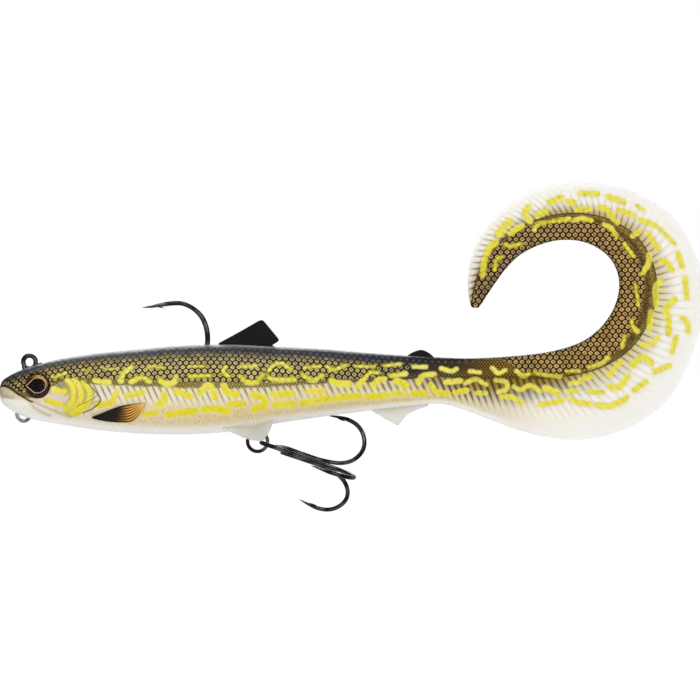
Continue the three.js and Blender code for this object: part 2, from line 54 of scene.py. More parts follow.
# Stations from nose to tail tip, as in the CAD: dorsal x, z, ventral x, z, and half width.
STATIONS = np.array([
    [-10.0, -8.4, -10.0, -12.0, 1.6],
    [-9.3, -6.6, -9.3, -14.2, 3.0],
    [-7.2, -5.0, -7.2, -16.0, 4.1],
    [-3.0, -2.9, -3.0, -18.3, 5.4],
    [3.0, -0.9, 3.0, -20.1, 6.6],
    [11.0, 1.0, 11.0, -21.5, 7.8],
    [22.0, 2.7, 22.0, -23.2, 8.9],
    [36.0, 4.1, 36.0, -24.5, 9.6],
    [52.0, 5.5, 52.0, -24.9, 9.8],
    [68.0, 5.9, 68.0, -24.0, 9.3],
    [84.0, 5.2, 84.0, -21.2, 8.2],
    [100.0, 4.4, 100.0, -18.9, 6.9],
    [116.0, 3.1, 116.0, -16.8, 5.5],
    [130.0, 2.1, 130.0, -15.2, 4.3],
    [141.0, 1.5, 141.0, -14.4, 3.6],
    [150.0, 1.2, 149.5, -16.6, 3.1],
    [159.0, 1.5, 158.0, -19.8, 2.8],
    [168.0, 2.2, 166.5, -23.0, 2.6],
    [176.0, 3.1, 177.0, -25.8, 2.5],
    [184.0, 4.9, 188.0, -26.8, 2.5],
    [190.5, 7.6, 200.0, -24.8, 2.5],
    [195.8, 11.8, 211.5, -19.2, 2.5],
    [199.6, 17.0, 221.0, -10.0, 2.5],
    [201.7, 22.5, 227.5, 3.5, 2.5],
    [202.1, 28.0, 230.9, 18.0, 2.4],
    [200.5, 33.2, 229.6, 33.0, 2.35],
    [197.2, 37.3, 222.0, 48.0, 2.3],
    [192.2, 40.3, 210.0, 57.0, 2.2],
    [186.5, 41.7, 197.0, 60.8, 2.1],
    [180.3, 41.5, 184.0, 61.2, 2.0],
    [174.0, 39.7, 172.0, 58.4, 1.9],
    [168.2, 36.6, 162.5, 52.4, 1.8],
    [163.4, 32.0, 155.3, 44.7, 1.65],
    [159.7, 27.0, 151.5, 36.2, 1.5],
    [156.8, 22.7, 150.4, 28.0, 1.3],
    [155.3, 20.3, 150.6, 22.2, 1.1],
    [154.2, 18.9, 151.3, 19.3, 0.7],
])
LAST = len(STATIONS) - 1
DENSE = np.linspace(0, LAST, 8000)  # stations close enough together to measure lengths by
SIDES = (("left", -1), ("right", 1))


def smooth(a, b, v):
    """0 at a and 1 at b, with a smooth step between."""
    t = np.clip((np.asarray(v, float) - a) / (b - a), 0, 1)
    return t * t * (3 - 2 * t)


def rounded(v):
    """A quarter circle that rises from 0 at 0 to 1 at 1."""
    return np.sqrt(np.clip(1 - (1 - np.clip(v, 0, 1)) ** 2, 0, 1))


def lengths(line):
    """Distance along a line from its start to each of its points."""
    return np.concatenate([[0], np.cumsum(np.linalg.norm(np.diff(line, axis=0), axis=1))])


def with_ends(points):
    """The points with one more at each end, in line with the last two."""
    return np.vstack([2 * points[0] - points[1], points, 2 * points[-1] - points[-2]])


def catmull_rom(a, b, c, d, f):
    """The smooth curve from b to c, at f between 0 and 1, when a comes before b and d after c."""
    return b + 0.5 * f * (c - a + f * (2 * a - 5 * b + 4 * c - d + f * (3 * (b - c) + d - a)))


def columns(s):
    """The station table at fractional stations s: one row of five values per station."""
    table = with_ends(STATIONS)
    s = np.asarray(s, float)
    i = np.clip(np.floor(s).astype(int), 0, LAST - 1)
    return catmull_rom(*(table[i + k] for k in range(4)), (s - i)[..., None])


def heights(c):
    """Distance from back to belly at each row of the station table."""
    return np.linalg.norm(c[:, 2:4] - c[:, :2], axis=1)


# Where the tail's scaled band ends, as a share of the way from its inner to its outer edge, by station.
RIDGE = [(13, 0.45), (15.5, 0.37), (17, 0.3), (19, 0.3), (20, 0.32), (21, 0.35), (22, 0.385), (23, 0.42),
         (24, 0.45), (26, 0.465), (28, 0.465), (30, 0.46), (31, 0.485), (32, 0.54), (33, 0.59), (34, 0.64),
         (35, 0.75), (36, 0.92)]
MEMBRANE = 0.62  # half the thickness of the tail's clear membrane at its root
MEMBRANE_LOSS = 0.2  # how much thinner it is at the outer edge
INNER_ROUNDING = 0.085  # share of the tail's width over which its inner edge is rounded
OUTER_ROUNDING = 0.02  # the same at its outer edge, before the tip


def table_at(table, s):
    """A table of (station, value) rows at the stations s."""
    return np.interp(s, [row[0] for row in table], [row[1] for row in table])


def half_thickness(s, t, width):
    """Half the thickness at station s and share t of the way from back to belly."""
    body = width * np.sqrt(np.clip(1 - np.abs(2 * t - 1) ** 2.2, 0, None))
    ridge = table_at(RIDGE, s)
    tip = smooth(32.5, 35, s)
    membrane = np.minimum(MEMBRANE - MEMBRANE_LOSS * t, width)
    crown = width * (0.93 + 0.1 * np.sin(np.pi * np.clip(t / ridge, 0, 1)))
    step = smooth(-0.05, 0.02, t - ridge) * (1 - tip)
    blade = crown + (membrane - crown) * step
    outer = rounded((1 - t) / (OUTER_ROUNDING + 0.1 * tip))
    flat = smooth(13, 18, s)
    return body * (1 - flat) + blade * rounded(t / INNER_ROUNDING) * outer * flat


# ---- The skin's grid ------------------------------------------------------------------------------------

CAMERA_DISTANCE = 2.0  # metres
PICTURE_WIDTH = 0.24  # metres across the picture at the object
PICTURE_X, PICTURE_Z = 109.9, 4.05  # the picture's centre
ALONG = 0.34  # grid spacing along the body
AROUND = 96  # quads from back to belly on each side
CAP = 7  # rings that close the nose and the tail tip


def station_grid():
    """Stations whose ribs are about ALONG apart, measured half way between back and belly."""
    c = columns(DENSE)
    length = lengths((c[:, :2] + c[:, 2:4]) / 2)
    count = int(length[-1] / ALONG)
    return np.interp(np.linspace(0, length[-1], count + 1), length, DENSE)


def arc_length(s, share):
    """Distance along the body at that share of the way from back to belly, at each station."""
    c = columns(DENSE)
    share = np.broadcast_to(share, DENSE.shape)[:, None]
    return np.interp(s, DENSE, lengths(c[:, :2] * (1 - share) + c[:, 2:4] * share))


def half_sections(s):
    """Shares t and girth distances, both (stations, AROUND + 1), evenly spaced round the section."""
    c = columns(s)
    t = 0.5 * (1 - np.cos(np.linspace(0, np.pi, 600)))
    y = half_thickness(s[:, None], t[None, :], c[:, 4:5])
    steps = np.hypot(np.diff(y, axis=1), np.diff(t)[None, :] * heights(c)[:, None])
    girth = np.concatenate([np.zeros((len(s), 1)), np.cumsum(steps, axis=1)], axis=1)
    shares = np.empty((len(s), AROUND + 1))
    for i in range(len(s)):
        shares[i] = np.interp(np.linspace(0, girth[i, -1], AROUND + 1), girth[i], t)
    shares[:, 0], shares[:, -1] = 0, 1
    return shares, girth[:, -1:] * np.linspace(0, 1, AROUND + 1)[None, :]


def ring_positions(s, t):
    """Each station's closed ring of points: back to belly on the near side, then up the far side."""
    c = columns(s)
    x = c[:, 0:1] * (1 - t) + c[:, 2:3] * t
    z = c[:, 1:2] * (1 - t) + c[:, 3:4] * t
    y = half_thickness(s[:, None], t, c[:, 4:5])
    near = np.stack([x, -y, z], -1)
    far = np.stack([x, y, z], -1)[:, -2:0:-1]
    return np.concatenate([near, far], axis=1)


def around(values):
    """Mirrors values on the near half, back to belly, onto the whole ring."""
    return np.concatenate([values, values[:, -2:0:-1]], axis=1)


def grid_normals(pos):
    """Outward normals of a grid whose rows are closed rings."""
    along = np.gradient(pos, axis=0)
    across = np.roll(pos, -1, axis=1) - np.roll(pos, 1, axis=1)
    n = np.cross(across, along)
    return n / np.maximum(np.linalg.norm(n, axis=-1, keepdims=True), 1e-9)


# ---- Paint tables ---------------------------------------------------------------------------------------

# Yellow marks: each has its half width and the points of its stroke, on the side view.
MARKS = [
    # head
    (0.5, (7.9, -5.4), (10.2, -4.9), (12.5, -3.9)), (0.7, (8.3, -9.3), (10, -10.0), (11.9, -10.1)),
    (0.7, (5.9, -13.1), (8.2, -13.8), (10.6, -14.3)),
    (0.6, (12.9, -6.0), (14.7, -8.4), (15.2, -11.2), (14.4, -13.9), (12.3, -16.2)),
    (0.6, (15.3, -6.2), (17.1, -8.4), (17.8, -11.2), (17.0, -13.9), (14.5, -17.3)),
    (0.6, (18.7, -6.9), (20.2, -9.1), (20.8, -11.5), (19.9, -14.0), (16.3, -17.7)),
    (0.28, (18, -2.9), (21.1, -2.9)),
    # trunk, upper rows
    (0.28, (24.7, -1.9), (27.5, -2.5), (30.7, -2.0)), (0.9, (35.0, -1.9), (32.1, -4.0), (31.3, -6.3)),
    (0.7, (22.4, -6.1), (24.8, -6.8), (27.3, -6.9)),
    (0.75, (35.0, -6.7), (37, -5.5), (39, -5.4), (41.2, -6.4)),
    (0.5, (40.4, -2.0), (42.6, -1.6), (45.6, -2.0)),
    (0.85, (44.6, -5.9), (47.2, -7.6), (49.4, -6.9), (50.3, -5.0)), (0.45, (55.1, -1.6), (60.0, -1.5)),
    (0.65, (54.9, -5.0), (62.0, -4.7)), (0.75, (67.1, -1.9), (66.5, -3.5), (68.3, -4.9)),
    (0.55, (72.4, -1.6), (77.8, -1.4)), (0.75, (72.4, -5.0), (74.4, -6.7), (77.8, -6.7), (80.1, -4.3)),
    (0.65, (82.0, -3.0), (83.8, -1.0), (86.9, -0.7), (89.7, -2.7)),
    (0.8, (82, -5.3), (84.4, -6.0), (90.9, -5.9)), (0.5, (94.3, -1.9), (99.7, -1.6)),
    (0.75, (93.7, -4.5), (97.1, -6.3), (100.5, -4.6)),
    # trunk, lower rows
    (0.7, (23.5, -14.8), (28.0, -13.7), (29.9, -10.2)), (0.65, (33.3, -11.6), (38.7, -10.5)),
    (0.85, (46.1, -11.3), (46.1, -13.7), (44.0, -14.4)), (0.75, (50.3, -10.1), (52.6, -10.8), (55.1, -11.8)),
    (0.75, (58.4, -10.6), (60.9, -7.7), (62.3, -8.5), (63.7, -12.0)), (0.6, (39.2, -18.0), (43.5, -17.4)),
    (0.8, (47.5, -18.0), (52, -17.3), (56.8, -16.8)), (0.85, (59.8, -16.2), (63.5, -15.9), (67.8, -16.8)),
    (0.9, (66.6, -8.1), (67.9, -10.3), (71.0, -11.0)), (0.75, (68.7, -14.4), (73.2, -14.3)),
    (0.85, (76.7, -11.1), (80.4, -12.6), (80.4, -14.9), (77.2, -16.0)), (0.85, (83.5, -11.3), (90.0, -10.9)),
    (0.85, (84.3, -14.7), (90.6, -14.3)), (0.7, (95.7, -10.1), (100.5, -10.0)),
    (0.8, (93.7, -14.1), (98.3, -13.2), (102.6, -12.4)),
    # rear body
    (0.65, (102.2, -1.6), (104, -2.8), (108.4, -1.2)), (0.9, (103.6, -6.1), (106.2, -7.4), (109.4, -7.5)),
    (0.5, (111.8, -1.5), (118.4, -1.6)), (0.7, (112.8, -8.2), (114.7, -5.6), (117.0, -3.7), (119.5, -3.7)),
    (0.75, (117.9, -8.1), (119.5, -6.2), (121.7, -5.6)),
    (0.75, (104.8, -12.6), (108, -11.9), (113.2, -11.6)), (0.8, (115.9, -11.9), (123.0, -11.4)),
    (0.55, (121.8, -1.3), (127.2, -0.8)), (0.7, (123.9, -4.6), (128.9, -4.0)),
    (0.85, (125.6, -6.5), (127.2, -6.9), (129.1, -8.2)), (0.65, (125.0, -10.9), (128.6, -10.9)),
    (0.5, (131.4, -1.5), (136, -1.8)), (0.7, (133.5, -6.9), (135.0, -4.7), (138.8, -4.3)),
    (0.8, (131.5, -10.9), (136, -10.7)), (0.85, (137.7, -8.0), (139.6, -10.3), (143.3, -10.9)),
    # stem
    (0.6, (141.2, -2.2), (144.6, -3.2), (146.4, -2.4)), (0.8, (142.9, -7.0), (147.7, -6.5)),
    (0.8, (145.9, -10.6), (150.0, -9.8)), (0.5, (151, -3.2), (154.5, -3.6)),
    (0.6, (149.6, -7.3), (152.9, -5.9), (156.5, -7.8)), (0.6, (153.3, -10.7), (156.5, -10.7)),
    (0.6, (158.7, -2.0), (160.7, -3.9), (163.2, -2.9)),
    (0.6, (159.9, -6.2), (163.3, -6.9), (163.6, -9.3), (160.7, -10.4)),
    (0.6, (167, -3.1), (169.2, -4.9), (171.3, -3.9)),
    (0.6, (166.1, -8.5), (168.4, -9.6), (171.6, -8.0), (175.0, -10.1)),
    (0.75, (162.1, -12.1), (165.7, -12.2), (168.8, -14.2)),
    # curl, lower
    (0.6, (173.2, -3.6), (177.1, -4.4), (182, -4.9)), (0.75, (174.7, -14.7), (178.7, -14.2), (182.6, -13.1)),
    (1.0, (177.0, -8.9), (181.0, -10.8)), (0.6, (184.2, -3.3), (188.6, -3.0)),
    (0.65, (191.8, -1.9), (195.9, -0.5), (198.4, 1.5)), (0.6, (203.1, 5.3), (204.1, 8.8)),
    (0.6, (206.5, 14.1), (207.0, 11.7), (208.5, 10.4)), (0.7, (213.2, 17), (212.5, 11.2)),
    (0.55, (183.9, -10.2), (187.9, -9.9)), (0.5, (185.5, -7.4), (188.6, -6.9)),
    (0.7, (189.1, -6.3), (192.8, -4.8)), (0.6, (191.9, -10.2), (196.6, -10.6)),
    (0.65, (198.7, -4.6), (202.8, 0.0)), (0.65, (210.1, 5.8), (213.4, 6.1), (215.5, 8.5)),
    (0.65, (223.8, 15.1), (225.5, 13.6), (225.9, 10.5)), (0.65, (221.8, 8.5), (220.2, 3.4)),
    (0.85, (206.6, -1.3), (210.2, 1.5), (213.3, -0.4)), (0.8, (198.9, -8.4), (201.9, -8.8), (205.3, -4.9)),
    (0.7, (214.3, -3.5), (219.4, -1.3)), (0.7, (207.3, -9.8), (211.3, -6.9)),
    (0.75, (185.4, -12.7), (188, -13.9), (192.0, -14.4)),
    (0.8, (194.5, -14.8), (199.4, -15.1), (204.6, -12.5)),
    # curl, right side
    (0.55, (207.7, 26.3), (208.2, 23.6), (208.8, 19.3)), (0.75, (216.4, 27.8), (214.8, 25.4), (214.9, 19.5)),
    (0.85, (221.2, 21.4), (218.3, 18.0), (219.2, 14.2), (219.1, 9.8)),
    (0.7, (212.5, 36.7), (212.3, 33.8), (210.1, 30.2)), (0.7, (204, 40.4), (206.9, 36.3)),
    (0.75, (216.6, 34.6), (218.5, 34.0), (220.4, 31.5)), (0.7, (222.4, 37.2), (223.8, 32.7)),
    (0.7, (224.8, 28.7), (225.4, 22.0)),
    # curl, top
    (0.65, (197, 46.8), (199.3, 45.7), (201.4, 42.7)), (0.65, (186.6, 48.3), (189.5, 49), (192.5, 48.2)),
    (0.65, (178.3, 47.9), (185.1, 48.8)), (0.7, (172.9, 45.1), (174.1, 46.9), (176.8, 47.6)),
    (0.7, (187.5, 52.3), (192.2, 52.4)), (0.7, (195.5, 52.9), (198.1, 52.2), (200, 49.4), (201.7, 47.9)),
    (0.75, (201.9, 52.0), (206.8, 50.4)), (0.7, (209.2, 48.6), (214.2, 46.9)),
    (0.42, (215.4, 46.2), (218.6, 43.2), (221.3, 40.4)), (0.7, (212, 44.1), (215.5, 38.8)),
    (0.65, (209.2, 44.9), (206.8, 43.1)), (0.75, (189.0, 57.8), (194.7, 57.6)),
    (0.75, (198.5, 56.6), (203.8, 54.7)), (0.42, (208.2, 53.6), (210.4, 52.1)),
    (0.9, (178.3, 54.6), (182.1, 56.2)), (0.85, (184.8, 54.9), (186.7, 54.5)),
    (0.9, (174.1, 50.2), (176.8, 51.6)), (0.8, (171.1, 53.1), (169.9, 50.7), (171.7, 48.1)),
    # curl, tip
    (0.65, (163.0, 40.2), (165.2, 39.6), (168.6, 40.4)), (0.65, (161.9, 36.0), (160.1, 34.8), (159.5, 31.6)),
    (0.85, (168.8, 46.5), (165, 44)), (1.2, (164.5, 48.0), (162.7, 46), (160.7, 43.7)),
    (0.95, (159.7, 40.8), (157.9, 39.3), (157, 37.2)), (0.95, (156.2, 35.0), (155.4, 29.7)),
]

# The gill cover's rear edge, from top to bottom.
GILL = [(13.6, -2.6), (17.4, -5.2), (20.7, -7.6), (23.2, -10.4), (24.6, -12.4), (24.4, -13.9), (22, -15.9),
        (18.6, -17.5), (14, -19.5)]
# Thin dark lines of the head, each with its half width: the gill cover's edge, the cheek, the mouth.
LINES = [
    (0.17, *GILL[:-1]),
    (0.12, (8.7, -6.2), (10.5, -8.0), (11.9, -9.5)),
    (0.10, (16.3, -15.3), (20.7, -13.3), (23.9, -11.4)),
    (0.27, (-8.6, -7.9), (-6.4, -8.9), (-3.7, -10.9), (-0.3, -13.0), (1.3, -13.7)),
]
# Painted shade along the soft folds of the jaw and under the eye.
SHADED_FOLDS = [
    (0.1, (-0.3, -13.0), (2.1, -15.7), (5.6, -17.7), (7.4, -18.2)),
    (0.1, (1.4, -13.6), (7.0, -15.9), (11.9, -17.8), (14.2, -18.6)),
    (0.2, (-9.2, -12.2), (-7.6, -11.8), (-5.4, -12.2)),
]
EYE_CENTRE = (3.1, -8.15)


def stroke_points(points, per_span=8):
    """A smooth line through the points."""
    p = np.array(points, float)
    if len(p) == 2:
        return p
    q = with_ends(p)
    f = np.linspace(0, 1, per_span, endpoint=False)[:, None]
    return np.vstack([catmull_rom(*q[i:i + 4], f) for i in range(len(p) - 1)] + [p[-1:]])


def distance_to(line, x, z):
    """Distance from the points (x, z) to a polyline."""
    best = np.full(x.shape, 1e9)
    for (ax, az), (bx, bz) in zip(line[:-1], line[1:]):
        dx, dz = bx - ax, bz - az
        k = np.clip(((x - ax) * dx + (z - az) * dz) / (dx * dx + dz * dz), 0, 1)
        best = np.minimum(best, np.hypot(x - ax - k * dx, z - az - k * dz))
    return best


def stroke_field(strokes, x, z, reach=1.5):
    """Distance outside the nearest stroke's edge, negative inside, and never over reach."""
    field = np.full(x.shape, reach)
    for half, *points in strokes:
        line = stroke_points(points)
        low, high = line.min(0) - half - reach, line.max(0) + half + reach
        near = (x > low[0]) & (x < high[0]) & (z > low[1]) & (z < high[1])
        field[near] = np.minimum(field[near], distance_to(line, x[near], z[near]) - half)
    return field


# Where each band of paint ends, as a share of the way from back to belly, by station.
BACK_END = [(0, 0.12), (3, 0.14), (5, 0.1), (7, 0.095), (9, 0.11), (11, 0.13), (13, 0.17), (14, 0.19),
            (15.2, 0.06), (17, 0.02), (36, 0.02)]
SCALE_END = [(0, 0.2), (2, 0.33), (3, 0.5), (4, 0.52), (5, 0.31), (6, 0.33), (7, 0.36), (8, 0.41), (9, 0.44),
             (10, 0.46), (11, 0.47), (12.6, 0.41), (13.6, 0.1), (16.2, 0.02), (17.2, 0.24), (18, 0.27),
             (20, 0.3), (22, 0.3), (24, 0.305), (27, 0.33), (29, 0.39), (30, 0.415), (31, 0.445), (32, 0.5),
             (33, 0.55), (34, 0.6), (35, 0.72), (36, 0.9)]
FINE_END = [(0, 0.15), (1, 0.22), (2, 0.39), (3, 0.58), (4, 0.6), (4.5, 0.46), (5, 0.35), (5.5, 0.35),
            (6, 0.4), (7, 0.43), (8, 0.47), (9, 0.5), (10, 0.52), (11, 0.51), (12, 0.5), (13, 0.47),
            *RIDGE[1:]]
RIB_END = [(0, 0.7), (2.5, 0.68), (5, 0.66), (8, 0.69), (11, 0.74), (13, 0.84), (15, 0.9), (17, 0.88),
           (18, 0.8), (21, 0.82), (24, 0.88), (28, 0.9), (33, 0.95), (36, 1.1)]

# Colours of each band: pairs of a station and an sRGB colour.
PAINT = {
    # The back band's greys are its dark slate paint lightened by a painted highlight, the soft gloss of the
    # lamps from above.
    "back": "0 3a3a3c 2 2e2d2e 3.5 48484a 5 58585c 8 4c4c52 11 404047 13 2c2c32 14.5 1e1c1c 15.5 30260f "
            "18 40300f 36 40300f",
    "scale_top": "0 35311c 2 2e2918 3.5 665a30 5 8e7e42 8 988a56 10 8c7e54 11.5 7c7046 13 34321c "
                 "14.5 3a2e14 15.5 80601c 18 a87a22 24 a87822 28 a0742a 30 987032 32 765830 34 785426 "
                 "36 704e20",
    "scale_low": "0 5a5030 2 5a4e2c 4 92823f 5 b09c54 8 bca662 10 b6a25e 11.5 a89454 12.5 7c6e3e "
                 "13.5 443c20 14.5 54451e 16 826422 18 a67e26 22 a87a28 26 a47828 30 9a742e 34 88602a "
                 "36 7a5622",
    "fine": "0 8c8258 5 8a783a 8 9c8a4a 9.5 a8965a 11 867646 12 74663a 13 29282a 14.5 3a3018 15.5 6e5018 "
            "16.5 8e6c1c 18 86701e 20 7c6626 22 644e1c 28 6c541e 31 7c6426 36 7a6028",
    "ridge": "0 a09468 5 94854a 8 a0904e 9.5 a8965c 11 94844e 13 5c5030 15 705e26 17 7e6c1e 20 8c7a2c "
             "22 927e3a 26 a08a40 29 a08834 32 94803c 36 806424",
    "rib_top": "0 b8b096 1 b2aa8e 2 c4b498 3 cbbea2 5 c6baa0 8 c8be96 11 b4a270 13 94845a 14.5 947f40 "
               "16 8c7826 17 88741c 18 8e7a22 19 a08e3e 20 c4b478 24 c8b884 26 b8a468 28 a8944c 30 a69048 "
               "32 988244 36 8c6e3c",
    "rib_low": "0 a8a084 1 a8a188 2 c0b49a 3 dad2c2 5 d6cfb8 8 d6cdac 11 ccbf94 13 cec198 15 d4c8a2 "
               "16.5 dfd5bc 18 e6dfcc 20 e9e5d8 28 eae7da 31 ece8da 33 e8e2d0 36 c9b48c",
    "belly_top": "0 dad7c8 2 eae5d8 3 ece7dc 5 ded4b8 8 d6c48e 11 d0be88 14 d2c290 16 e2dac8 19 e7e3da "
                 "28 e8e6de 32 f0eee8 36 f0eeea",
    "belly_low": "0 e6e3da 3 eeeae2 5 e8e2d6 8 dccfae 11 d6c8a6 14 dcd0b0 16 e2dcce 19 e8e6e1 27 e9e7e4 "
                 "31 f6f5f2 36 f6f5f2",
}


def linear(hex_colour):
    """A colour written as sRGB hex digits, in linear light."""
    v = np.array([int(hex_colour[i:i + 2], 16) / 255 for i in (0, 2, 4)])
    return np.where(v <= 0.04045, v / 12.92, ((v + 0.055) / 1.055) ** 2.4)


# A painted highlight: the lamps' pale blue-grey gloss along the top edge of the back.
BACK_HIGHLIGHT = linear("ccced4")
BOTTOM_WHITE = np.full(3, 0.88)
CHEEK_TOP = linear("978a64")
CHEEK_LOW = linear("dccfbc")
OLIVE = linear("b2a232")  # between the marks of the cheek
# The colour of the painted shade in the jaw's folds.
FOLD_SHADE = linear("97855c")
MARK_TOP = linear("e6e268")
MARK_LOW = linear("dccd1c")
MARK_TAIL = linear("dcd238")


def mixed(a, b, share):
    """Colour a where share is 0, and b where it is 1."""
    return a * (1 - share[..., None]) + b * share[..., None]


def paint_at(name, s):
    """The colour of one band at the stations s."""
    words = PAINT[name].split()
    stations = [float(word) for word in words[::2]]
    colours = np.array([linear(word) for word in words[1::2]])
    return np.stack([np.interp(s, stations, colours[:, k]) for k in range(3)], -1)


def noise(x, y, seed, size):
    """Smooth noise between -1 and 1 from a seeded lattice."""
    lattice = np.random.default_rng(seed).uniform(-1, 1, (64, 64))
    u, v = np.asarray(x) / size, np.asarray(y) / size
    i, j = np.floor(u).astype(int), np.floor(v).astype(int)
    fu, fv = smooth(0, 1, u - i), smooth(0, 1, v - j)
    at = lambda a, b: lattice[a % 64, b % 64]
    return ((at(i, j) * (1 - fu) + at(i + 1, j) * fu) * (1 - fv)
            + (at(i, j + 1) * (1 - fu) + at(i + 1, j + 1) * fu) * fv)


# ---- Patterns shared by the relief and the shader --------------------------------------------------------

# The line that the ribs are counted along, as a share of the way from back to belly, by station.
FOOT = [(0, 0.4), (14, 0.4), (17, 0.3), (21, 0.35), (24, 0.45), (30, 0.46), (33, 0.55), (36, 0.55)]
SCALE_PITCH = 2.13  # along the body
SCALE_ROW = 1.5  # from one row to the next
CELL_ROUND = 0.65  # how round a scale is: 1 is an ellipse, and 0 a diamond with straight sides
FINE_SHARE = 0.5  # the small scales' size, as a share of the large ones'
RIB_PITCH = [(0, 2.25), (21, 2.2), (25, 2.05), (28, 1.8), (30.5, 1.85), (33, 2.3), (36, 2.4)]  # by station
RIB_LEAN = [(0, 0.47), (13, 0.47), (16, 0.42), (21, 0.45), (24, 0.26), (27, 0.5), (30, 0.75), (33, 0.8)]
BELLY_SHARE = 0.49  # the belly's stripes, as a share of the ribs' spacing
WANDER = 1.7  # size of the waves in the scales' rows
# Heights of the skin's relief, in millimetres.
SCALE_RAISE = 0.09
SMALL_RAISE = 0.05
RIB_GROOVE = 0.16
STREAK_GROOVE = 0.07
COVER_RAISE = 0.28
LINE_GROOVE = 0.2
SOCKET_RIM = 0.35
SOCKET_DEPTH = 1.4


def net_distance(p, g):
    """0 at a scale's centre and 0.5 at its edge, on a staggered lattice of rounded diamonds."""
    x, y = p / SCALE_PITCH, g / (2 * SCALE_ROW)

    def centre_distance(shift):
        dx, dy = np.abs(x - shift - np.round(x - shift)), np.abs(y - shift - np.round(y - shift))
        return CELL_ROUND * np.hypot(dx, 1.732 * dy) + (1 - CELL_ROUND) * (dx + dy)

    return np.minimum(centre_distance(0.0), centre_distance(0.5))


def share_between(v, low, high, least):
    """How far v is on its way from low to high, which count as at least that far apart."""
    return np.clip((v - low) / np.maximum(high - low, least), 0, 1)


def skin_fields(s, t, x, z):
    """Everything the paint and the relief need, on the near half of the grid."""
    back, scale, fine, rib = (table_at(table, s) for table in (BACK_END, SCALE_END, FINE_END, RIB_END))
    edge = t + 0.008 * noise(x, z, 3, 3.0) + 0.006 * noise(x, z, 5, 1.2)
    tail = smooth(16, 18, s)
    head = 1 - smooth(4.6, 6.2, s)
    gill = stroke_points(GILL)
    gill_x = np.interp(-z, -gill[:, 1], gill[:, 0])
    cover = smooth(0.1, -0.1, x - gill_x) * (z < GILL[0][1]) * (z > GILL[-1][1] + 0.3) * smooth(4, 9, x)

    soft = 0.035 - 0.02 * tail
    scales = smooth(back - soft, back + soft, edge)
    low = share_between(edge, back, scale, 0.02)
    strip = smooth(scale - 0.03, scale + 0.02, edge)
    strip_low = smooth(0.3, 0.8, share_between(edge, scale, fine, 0.02))
    ribs = smooth(fine - 0.012, fine + 0.012, edge)
    first = 0.15 * smooth(12.5, 14.5, s) * smooth(19.5, 17, s)
    last = 0.85 - 0.3 * smooth(16.5, 18.5, s)
    ribs_low = smooth(first, last, share_between(edge, fine, rib, 0.02))
    belly = smooth(rib - 0.05, rib + 0.05, edge)
    belly_low = smooth(0.0, 1.0, share_between(edge, rib, 1.0, 0.05))
    # Where the painted highlight lies: along the top edge of the back, from the head to the stem.
    crown = smooth(0.045, 0.0, t) * smooth(2, 4, s) * (1 - smooth(12.5, 14, s))
    cheek_low = smooth(-7.5, -11.5, z)[..., None] * CHEEK_LOW
    cheek = cheek_low + smooth(-11.5, -7.5, z)[..., None] * CHEEK_TOP
    cheek = cheek * (0.86 + 0.14 * smooth(3.2, 0.4, gill_x - x))[..., None]
    on_cheek = cover * smooth(fine - 0.01, fine + 0.02, edge) * smooth(7, 10, x) * smooth(-18.6, -15, z)
    tint = paint_at("back", s)
    for colour, share in (
        (paint_at("scale_top", s), scales),
        (paint_at("scale_low", s), smooth(0.05, 0.5, low) * scales),
        (paint_at("fine", s), 0.5 * smooth(0.55, 1.0, low) * (1 - tail)),
        (paint_at("fine", s), strip),
        (paint_at("ridge", s), strip * strip_low),
        (paint_at("rib_top", s), ribs),
        (paint_at("rib_low", s), ribs * ribs_low),
        (paint_at("belly_top", s), belly),
        (paint_at("belly_low", s), belly * belly_low),
        (BOTTOM_WHITE, smooth(0.86, 0.97, t) * (1 - tail) * 0.8),
        (BACK_HIGHLIGHT, crown * 0.8),
        (cheek, on_cheek * 0.85),
    ):
        tint = mixed(tint, colour, share)

    small = smooth(scale - 0.015, scale + 0.01, edge) * smooth(fine + 0.008, fine - 0.008, edge)
    hatch = small * smooth(20, 22, s) * smooth(33.5, 32, s)
    ribby = smooth(fine - 0.004, fine + 0.012, edge) * smooth(rib + 0.05, rib - 0.16, edge)
    bottom = smooth(0.84, 0.94, t)
    streaky = smooth(rib - 0.06, rib + 0.04, edge) * (1 - tail) * (1 - 0.8 * head) * (1 - 0.8 * bottom)
    clear = tail * smooth(fine + 0.02, fine + 0.25, edge) + 0.6 * smooth(17, 19, s) * smooth(0.965, 1.0, t)
    return {
        "tint": tint,
        "scaly": smooth(scale + 0.01, scale - 0.015, edge),
        "slate": smooth(1.5 * back, 0.6 * back, edge) * (1 - smooth(15, 16, s)),
        "small": small * (1 - hatch),
        "hatch": hatch,
        "ribby": ribby * (1 - cover) * (1 - head * smooth(8, 2, x)),
        "broad": smooth(12.6, 14.6, s) * smooth(20.5, 17, s) + 0.4 * smooth(30.5, 32.5, s),
        "streaky": streaky,
        "clear": clear + 0.5 * smooth(14.5, 17, s) * smooth(0.6, 1, edge) * (1 - tail),
        "cover": cover,
        "ridge": fine,
        "tail": tail,
    }


def rib_count(s, t, height, ridge):
    """How many ribs lie between the nose and each point. The ribs lean back as they go down."""
    length = arc_length(DENSE, table_at(FOOT, DENSE))
    count = np.concatenate([[0], np.cumsum(np.diff(length) / table_at(RIB_PITCH, DENSE[1:]))])
    drop = table_at(RIB_LEAN, s) * (t - ridge) * height
    return np.interp(s, DENSE, count) - drop / table_at(RIB_PITCH, s)


def stripe_distance(coordinate):
    """0 at a stripe's middle and 1 half way to the next."""
    return np.abs(coordinate % 1 - 0.5) * 2


# ---- Mesh helpers ---------------------------------------------------------------------------------------


# A mesh attribute's type and field, by how many numbers it holds.
ATTRIBUTE_KINDS = {1: ("FLOAT", "value"), 3: ("FLOAT_VECTOR", "vector"), 4: ("FLOAT_COLOR", "color")}


